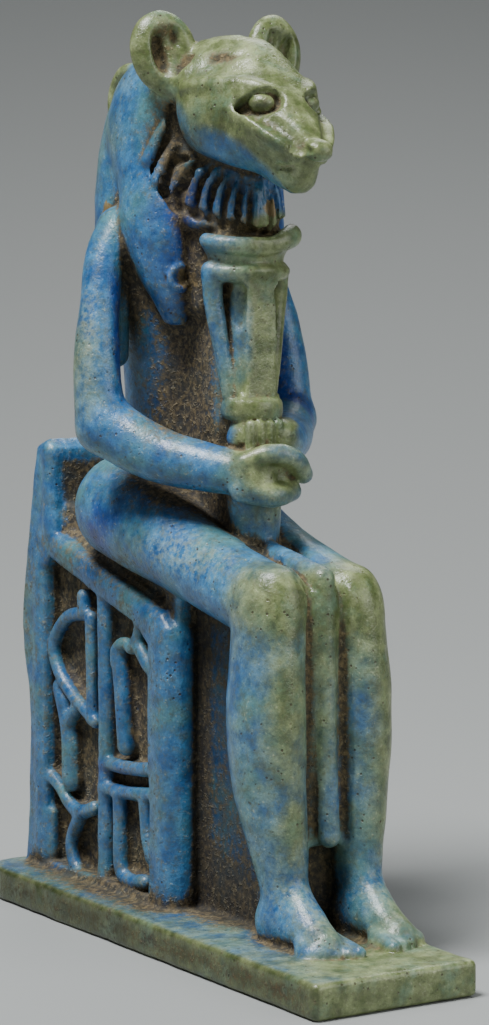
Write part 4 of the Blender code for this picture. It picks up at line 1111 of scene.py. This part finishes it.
def paint(obj, clay):
    """Where the glaze is green or deep blue, where it is worn or chipped, where dirt lies, and where painted
    shade and painted highlights go.
    """
    mesh = obj.data
    p = np.empty(len(mesh.vertices) * 3)
    mesh.vertices.foreach_get("co", p)
    p = p.reshape(-1, 3) / UNIT + (0, 0, PLINTH_LOW[2])
    at = measured(p, clay)
    closed = ease(at["near"] + at["wide"], OPEN_FACE, CLOSED_FACE)
    clinging = DIRT_ON_OPEN_FACE + (1 - DIRT_ON_OPEN_FACE) * closed
    kept = 1 - LESS_WEAR_AND_SHEEN_ON_RUFF * region(at, RUFF_LEVELS)
    kept *= 1 - LESS_WEAR_AND_SHEEN_ON_HEAD * region(at, HEAD_LEVELS)
    layers = {
        "green": regions(at, GREEN_REGIONS) + patches(p, GREEN_PATCHES),
        # Deep blue glaze, with painted shade behind the shins.
        "deep": regions(at, DEEP_SHADE_REGIONS) + patches(p, DEEP_PATCHES),
        # Burial dirt in hollows and recesses, with painted shade behind the shins, in the eye sockets and on
        # the plinth's long side.
        "grime_and_shade": regions(at, GRIME_AND_SHADE_REGIONS) + clinging * patches(p, GRIME_AND_SHADE_PATCHES),
        # Pale edge wear, with painted highlights on ridges, along the right thigh, the right arm, the feet,
        # the chin and the brow.
        "worn_and_sheen": region(at, EDGES) * kept + patches(p, SHEEN_PATCHES),
        "ochre": patches(p, OCHRE_PATCHES),
        # Painted shade, which the material uses to darken the colour.
        "painted_shade": regions(at, PAINTED_SHADE_REGIONS) + patches(p, PAINTED_SHADE_PATCHES),
    }
    for name, value in layers.items():
        layer = mesh.attributes.new(name, "FLOAT", "POINT")
        layer.data.foreach_set("value", np.clip(value, 0, 1).astype(np.float32))


def boxed(points):
    """Points in metres, stretched the little that fills the part's own box."""
    low, high = points.min(0), points.max(0)
    box_low, box_high = (np.array(corner) for corner in CAD_BOX)
    return box_low + (points - low) * (box_high - box_low) / (high - low)


def figurine():
    clay = sculpt()
    weather(clay)
    floor = (PLINTH_LOW[2] - clay.axes[2])[None, None, :].astype(np.float32)
    clay.field = np.maximum(clay.field, floor)
    points, quads = skin(clay)
    mesh = make_mesh("figurine", boxed(points), quads)
    obj = bpy.data.objects.new("glazed_figurine", mesh)
    bpy.context.scene.collection.objects.link(obj)
    thinned(obj, MOST_TRIANGLES)
    paint(obj, clay)
    obj.data.shade_smooth()
    return obj


class Glaze:
    """Short names for the nodes of one material."""

    def __init__(self, name):
        self.material = bpy.data.materials.new(name)
        self.material.use_nodes = True
        self.tree = self.material.node_tree
        self.shader = self.tree.nodes["Principled BSDF"]
        self.place = self.tree.nodes.new("ShaderNodeTexCoord").outputs["Object"]

    def node(self, kind, **inputs):
        made = self.tree.nodes.new("ShaderNode" + kind)
        for name, value in inputs.items():
            self.set(made.inputs[name.replace("_", " ")], value)
        return made

    def set(self, socket, value):
        if isinstance(value, bpy.types.NodeSocket):
            self.tree.links.new(value, socket)
        else:
            socket.default_value = value

    def noise(self, size, detail, roughness):
        """Cloudy value round 0.5, with features of about the given size in metres."""
        made = self.node("TexNoise", Vector=self.place, Scale=1 / size, Detail=detail, Roughness=roughness)
        return made.outputs["Fac"]

    def cells(self, size):
        made = self.node("TexVoronoi", Vector=self.place, Scale=1 / size)
        return made.outputs["Distance"]

    def layer(self, name):
        made = self.tree.nodes.new("ShaderNodeAttribute")
        made.attribute_name = name
        return made.outputs["Fac"]

    def math(self, operation, a, b):
        made = self.tree.nodes.new("ShaderNodeMath")
        made.operation = operation
        self.set(made.inputs[0], a)
        self.set(made.inputs[1], b)
        return made.outputs[0]

    def step(self, value, low, high):
        made = self.node("MapRange", Value=value)
        made.interpolation_type = "SMOOTHSTEP"
        made.inputs["From Min"].default_value = low
        made.inputs["From Max"].default_value = high
        return made.outputs["Result"]

    def mix(self, share, a, b, blend="MIX"):
        made = self.tree.nodes.new("ShaderNodeMix")
        made.data_type = "RGBA"
        made.blend_type = blend
        self.set(made.inputs[0], share)
        self.set(made.inputs[6], a)
        self.set(made.inputs[7], b)
        return made.outputs[2]

    def between(self, share, pair):
        """A colour between the two of a pair."""
        return self.mix(share, colour(*pair[0]), colour(*pair[1]))

    def veil(self, base, share, amount, tint):
        """The tint laid over the base, as dense as told where the share is full."""
        return self.mix(self.math("MULTIPLY", share, amount), base, colour(*tint))

    def shake(self, value, noise, amount):
        """The value pushed up or down by a cloudy value."""
        return self.math("ADD", value, self.math("MULTIPLY", self.math("SUBTRACT", noise, 0.5), amount))


def colour(red, green, blue):
    """Scene colour from an sRGB one of 0 to 255."""
    parts = [c / 255 for c in (red, green, blue)]
    return (*[c / 12.92 if c <= 0.04045 else ((c + 0.055) / 1.055) ** 2.4 for c in parts], 1)


# Colours, as sRGB of 0 to 255; two where one drifts into the other.
BLUE = ((36, 84, 134), (70, 128, 170))
TEAL = ((58, 104, 110), (96, 142, 138))
DEEP_BLUE = ((22, 52, 122), (40, 84, 158))
GREEN = ((82, 94, 54), (132, 143, 99))
PALE_GREEN = (104, 134, 112)
OLIVE_FILM = (74, 76, 50)
WORN_GLAZE_AND_SHEEN = (178, 188, 160)
SPECKS = (184, 188, 156)
PORES = (60, 46, 28)
CHIPS = ((92, 74, 44), (156, 138, 98))
SOIL_AND_SHADE = ((46, 38, 22), (112, 96, 64))
GREY_SOIL = (54, 60, 60)
GRIT = (134, 122, 90)

# Cloudy values: size in metres, detail, roughness.
WIDE_CLOUDS = (0.005, 5, 0.62)
DRIFTS = (0.003, 6, 0.66)
MOTTLE = (0.0016, 6, 0.68)
FILM_CLOUDS = (0.0011, 5, 0.75)
TONE_CLOUDS = (0.0006, 5, 0.78)
FINE_GRAIN = (0.0004, 4, 0.65)
GRIT_GRAIN = (0.0003, 2, 0.55)
SPECK_GRAIN = (0.00025, 2, 0.55)
BUMP_GRAIN = (0.00018, 2, 0.55)
PORE_SIZE = 0.0006


def sound_glaze(glaze, wide, drift, mottle, fine):
    """Blue, deep blue and green, one drifting into the other, under a thin olive film."""
    blue = glaze.between(glaze.step(mottle, 0.34, 0.68), BLUE)
    teal_share = glaze.math("MULTIPLY", glaze.step(wide, 0.44, 0.66), 0.8)
    blue = glaze.mix(teal_share, blue, glaze.between(mottle, TEAL))
    deep = glaze.between(glaze.step(mottle, 0.35, 0.7), DEEP_BLUE)
    # Deep blue drifts in where the deep layer is high; behind the shins it is painted shade.
    blue = glaze.mix(glaze.step(glaze.shake(glaze.layer("deep"), drift, 0.8), 0.25, 0.75), blue, deep)
    green = glaze.between(glaze.step(mottle, 0.36, 0.64), GREEN)
    green = glaze.veil(green, glaze.step(drift, 0.5, 0.7), 0.6, PALE_GREEN)
    ragged = glaze.shake(glaze.shake(glaze.layer("green"), drift, 0.75), mottle, 0.4)
    base = glaze.mix(glaze.step(ragged, 0.12, 0.9), blue, green)
    film = glaze.step(glaze.shake(glaze.noise(*FILM_CLOUDS), fine, 0.8), 0.46, 0.7)
    return glaze.veil(base, film, 0.45, OLIVE_FILM)


def wear(glaze, base, drift, mottle, fine):
    """Worn edges and painted highlights, pale specks, pores and chips; returns the colour and where the pores
    are.
    """
    worn_and_sheen = glaze.math("MULTIPLY", glaze.layer("worn_and_sheen"), glaze.step(fine, 0.4, 0.6))
    # Pale edge wear and painted highlights.
    base = glaze.veil(base, worn_and_sheen, 0.3, WORN_GLAZE_AND_SHEEN)
    specks = glaze.step(glaze.noise(*SPECK_GRAIN), 0.6, 0.74)
    specks = glaze.math("MULTIPLY", specks, glaze.step(mottle, 0.4, 0.6))
    base = glaze.veil(base, specks, 0.4, SPECKS)
    pores = glaze.step(glaze.cells(PORE_SIZE), 0.2, 0.08)
    pores = glaze.math("MULTIPLY", pores, glaze.step(drift, 0.42, 0.6))
    base = glaze.veil(base, pores, 0.85, PORES)
    chips = glaze.step(glaze.shake(glaze.layer("ochre"), mottle, 1.2), 0.42, 0.6)
    return glaze.mix(chips, base, glaze.between(fine, CHIPS)), pores


# Soil colour; the same colour is also laid as painted shade.
def soil_and_shade(glaze, drift, fine, grit):
    soil = glaze.between(glaze.step(fine, 0.38, 0.7), SOIL_AND_SHADE)
    soil = glaze.veil(soil, glaze.step(drift, 0.5, 0.66), 0.6, GREY_SOIL)
    return glaze.veil(soil, grit, 0.45, GRIT)


def relief(glaze, fine, pores, grit_in_dirt):
    height = glaze.math("ADD", glaze.math("MULTIPLY", fine, 0.5), glaze.math("MULTIPLY", pores, -0.5))
    height = glaze.math("ADD", height, glaze.math("MULTIPLY", glaze.noise(*BUMP_GRAIN), 0.3))
    height = glaze.math("ADD", height, glaze.math("MULTIPLY", grit_in_dirt, 0.8))
    return glaze.node("Bump", Height=height, Strength=0.8, Distance=0.0001).outputs["Normal"]


def faience():
    """Glazed faience with burial dirt in its recesses, painted shade and painted highlights, read from the
    layers that paint made.
    """
    glaze = Glaze("faience")
    wide, drift = glaze.noise(*WIDE_CLOUDS), glaze.noise(*DRIFTS)
    mottle, fine = glaze.noise(*MOTTLE), glaze.noise(*FINE_GRAIN)
    base = sound_glaze(glaze, wide, drift, mottle, fine)
    base, pores = wear(glaze, base, drift, mottle, fine)
    # Burial dirt, and painted shade where the layer marks it, mixed in as soil colour.
    dirt_and_shade = glaze.step(glaze.shake(glaze.shake(glaze.layer("grime_and_shade"), fine, 0.8), mottle, 0.9), 0.2, 0.85)
    grit = glaze.step(glaze.noise(*GRIT_GRAIN), 0.55, 0.7)
    base = glaze.mix(glaze.math("MULTIPLY", dirt_and_shade, 0.94), base, soil_and_shade(glaze, drift, fine, grit))
    tone = glaze.math("ADD", glaze.math("MULTIPLY", glaze.noise(*TONE_CLOUDS), 1.7), 0.2)
    base = glaze.mix(1.0, base, tone, "MULTIPLY")
    # Painted shade: the colour is darkened where the shade layer is high.
    shade = glaze.math("SUBTRACT", 1.0, glaze.math("MULTIPLY", glaze.layer("painted_shade"), 0.62))
    base = glaze.mix(1.0, base, shade, "MULTIPLY")
    rough = glaze.shake(glaze.math("ADD", glaze.math("MULTIPLY", dirt_and_shade, 0.5), 0.32), fine, 0.25)
    glaze.set(glaze.shader.inputs["Base Color"], base)
    glaze.set(glaze.shader.inputs["Roughness"], rough)
    glaze.shader.inputs["IOR"].default_value = 1.5
    glaze.set(glaze.shader.inputs["Normal"], relief(glaze, fine, pores, glaze.math("MULTIPLY", grit, dirt_and_shade)))
    return glaze.material


# Camera: fitted to the plinth's edges, the ears, the eyes and the feet.
CAMERA_AIM = Vector((0, 0, 0.0304))
CAMERA_DISTANCE = 0.216
CAMERA_TURN = math.radians(-32.18)
CAMERA_RISE = math.radians(5.31)
CAMERA_LENS = 109.4
CAMERA_SENSOR = 36
CAMERA_NEAREST = 0.01


def camera():
    data = bpy.data.cameras.new("camera")
    data.sensor_width = CAMERA_SENSOR
    data.lens = CAMERA_LENS
    data.clip_start = CAMERA_NEAREST
    obj = bpy.data.objects.new("camera", data)
    bpy.context.scene.collection.objects.link(obj)
    level = math.cos(CAMERA_RISE)
    back = Vector((math.sin(CAMERA_TURN) * level, -math.cos(CAMERA_TURN) * level, math.sin(CAMERA_RISE)))
    obj.location = CAMERA_AIM + back * CAMERA_DISTANCE
    obj.rotation_euler = (-back).to_track_quat("-Z", "Y").to_euler()
    bpy.context.scene.camera = obj


# Lamps: name, place in metres, watts, width. All of them aim at the figurine's middle.
LAMPS = (("key", (-0.17, -0.03, 0.44), 3.9, 0.16), ("side", (-0.42, -0.06, 0.20), 0.14, 0.20),
         ("fill", (0.20, -0.36, 0.20), 0.8, 0.30), ("back", (0.20, 0.22, 0.36), 0.5, 0.20))
LAMP_AIM = Vector((0, 0, 0.03))
SKY_COLOUR = (0.70, 0.72, 0.74, 1)
SKY_STRENGTH = 0.09


def lamp(name, place, energy, size):
    data = bpy.data.lights.new(name, "AREA")
    data.energy = energy
    data.size = size
    obj = bpy.data.objects.new(name, data)
    bpy.context.scene.collection.objects.link(obj)
    obj.location = place
    obj.rotation_euler = (LAMP_AIM - Vector(place)).to_track_quat("-Z", "Y").to_euler()


# Paper, in metres: it lies flat up to the bend, and rises behind the figurine.
PAPER_FRONT = -1.2
PAPER_BEND = 0.10
PAPER_CURVE = 0.9
PAPER_TOP = 2.5
PAPER_HALF_WIDTH = 1.6
PAPER_COLOUR = (0.29, 0.305, 0.302, 1)
PAPER_ROUGHNESS = 0.9
BEND_POINTS = 33


def paper():
    """Seamless sheet that lies under the figurine and rises behind it, square to the view."""
    bend = [(PAPER_BEND + PAPER_CURVE * math.sin(a), PAPER_CURVE * (1 - math.cos(a)))
            for a in np.linspace(0, math.pi / 2, BEND_POINTS)]
    profile = [(PAPER_FRONT, 0), (0, 0)] + bend + [(PAPER_BEND + PAPER_CURVE, PAPER_TOP)]
    corners = [(x, depth, height) for depth, height in profile for x in (-PAPER_HALF_WIDTH, PAPER_HALF_WIDTH)]
    faces = [(2 * i, 2 * i + 1, 2 * i + 3, 2 * i + 2) for i in range(len(profile) - 1)]
    mesh = bpy.data.meshes.new("paper")
    mesh.from_pydata(corners, [], faces)
    mesh.shade_smooth()
    sheet = bpy.data.objects.new("paper", mesh)
    bpy.context.scene.collection.objects.link(sheet)
    sheet.rotation_euler = (0, 0, CAMERA_TURN)
    material = bpy.data.materials.new("paper")
    material.use_nodes = True
    shader = material.node_tree.nodes["Principled BSDF"]
    shader.inputs["Base Color"].default_value = PAPER_COLOUR
    shader.inputs["Roughness"].default_value = PAPER_ROUGHNESS
    mesh.materials.append(material)


def studio():
    paper()
    for row in LAMPS:
        lamp(*row)
    world = bpy.data.worlds.new("studio")
    bpy.context.scene.world = world
    world.use_nodes = True
    sky = world.node_tree.nodes["Background"]
    sky.inputs["Color"].default_value = SKY_COLOUR
    sky.inputs["Strength"].default_value = SKY_STRENGTH


piece = figurine()
piece.data.materials.append(faience())
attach(piece, "root")
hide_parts(NODE)
camera()
studio()
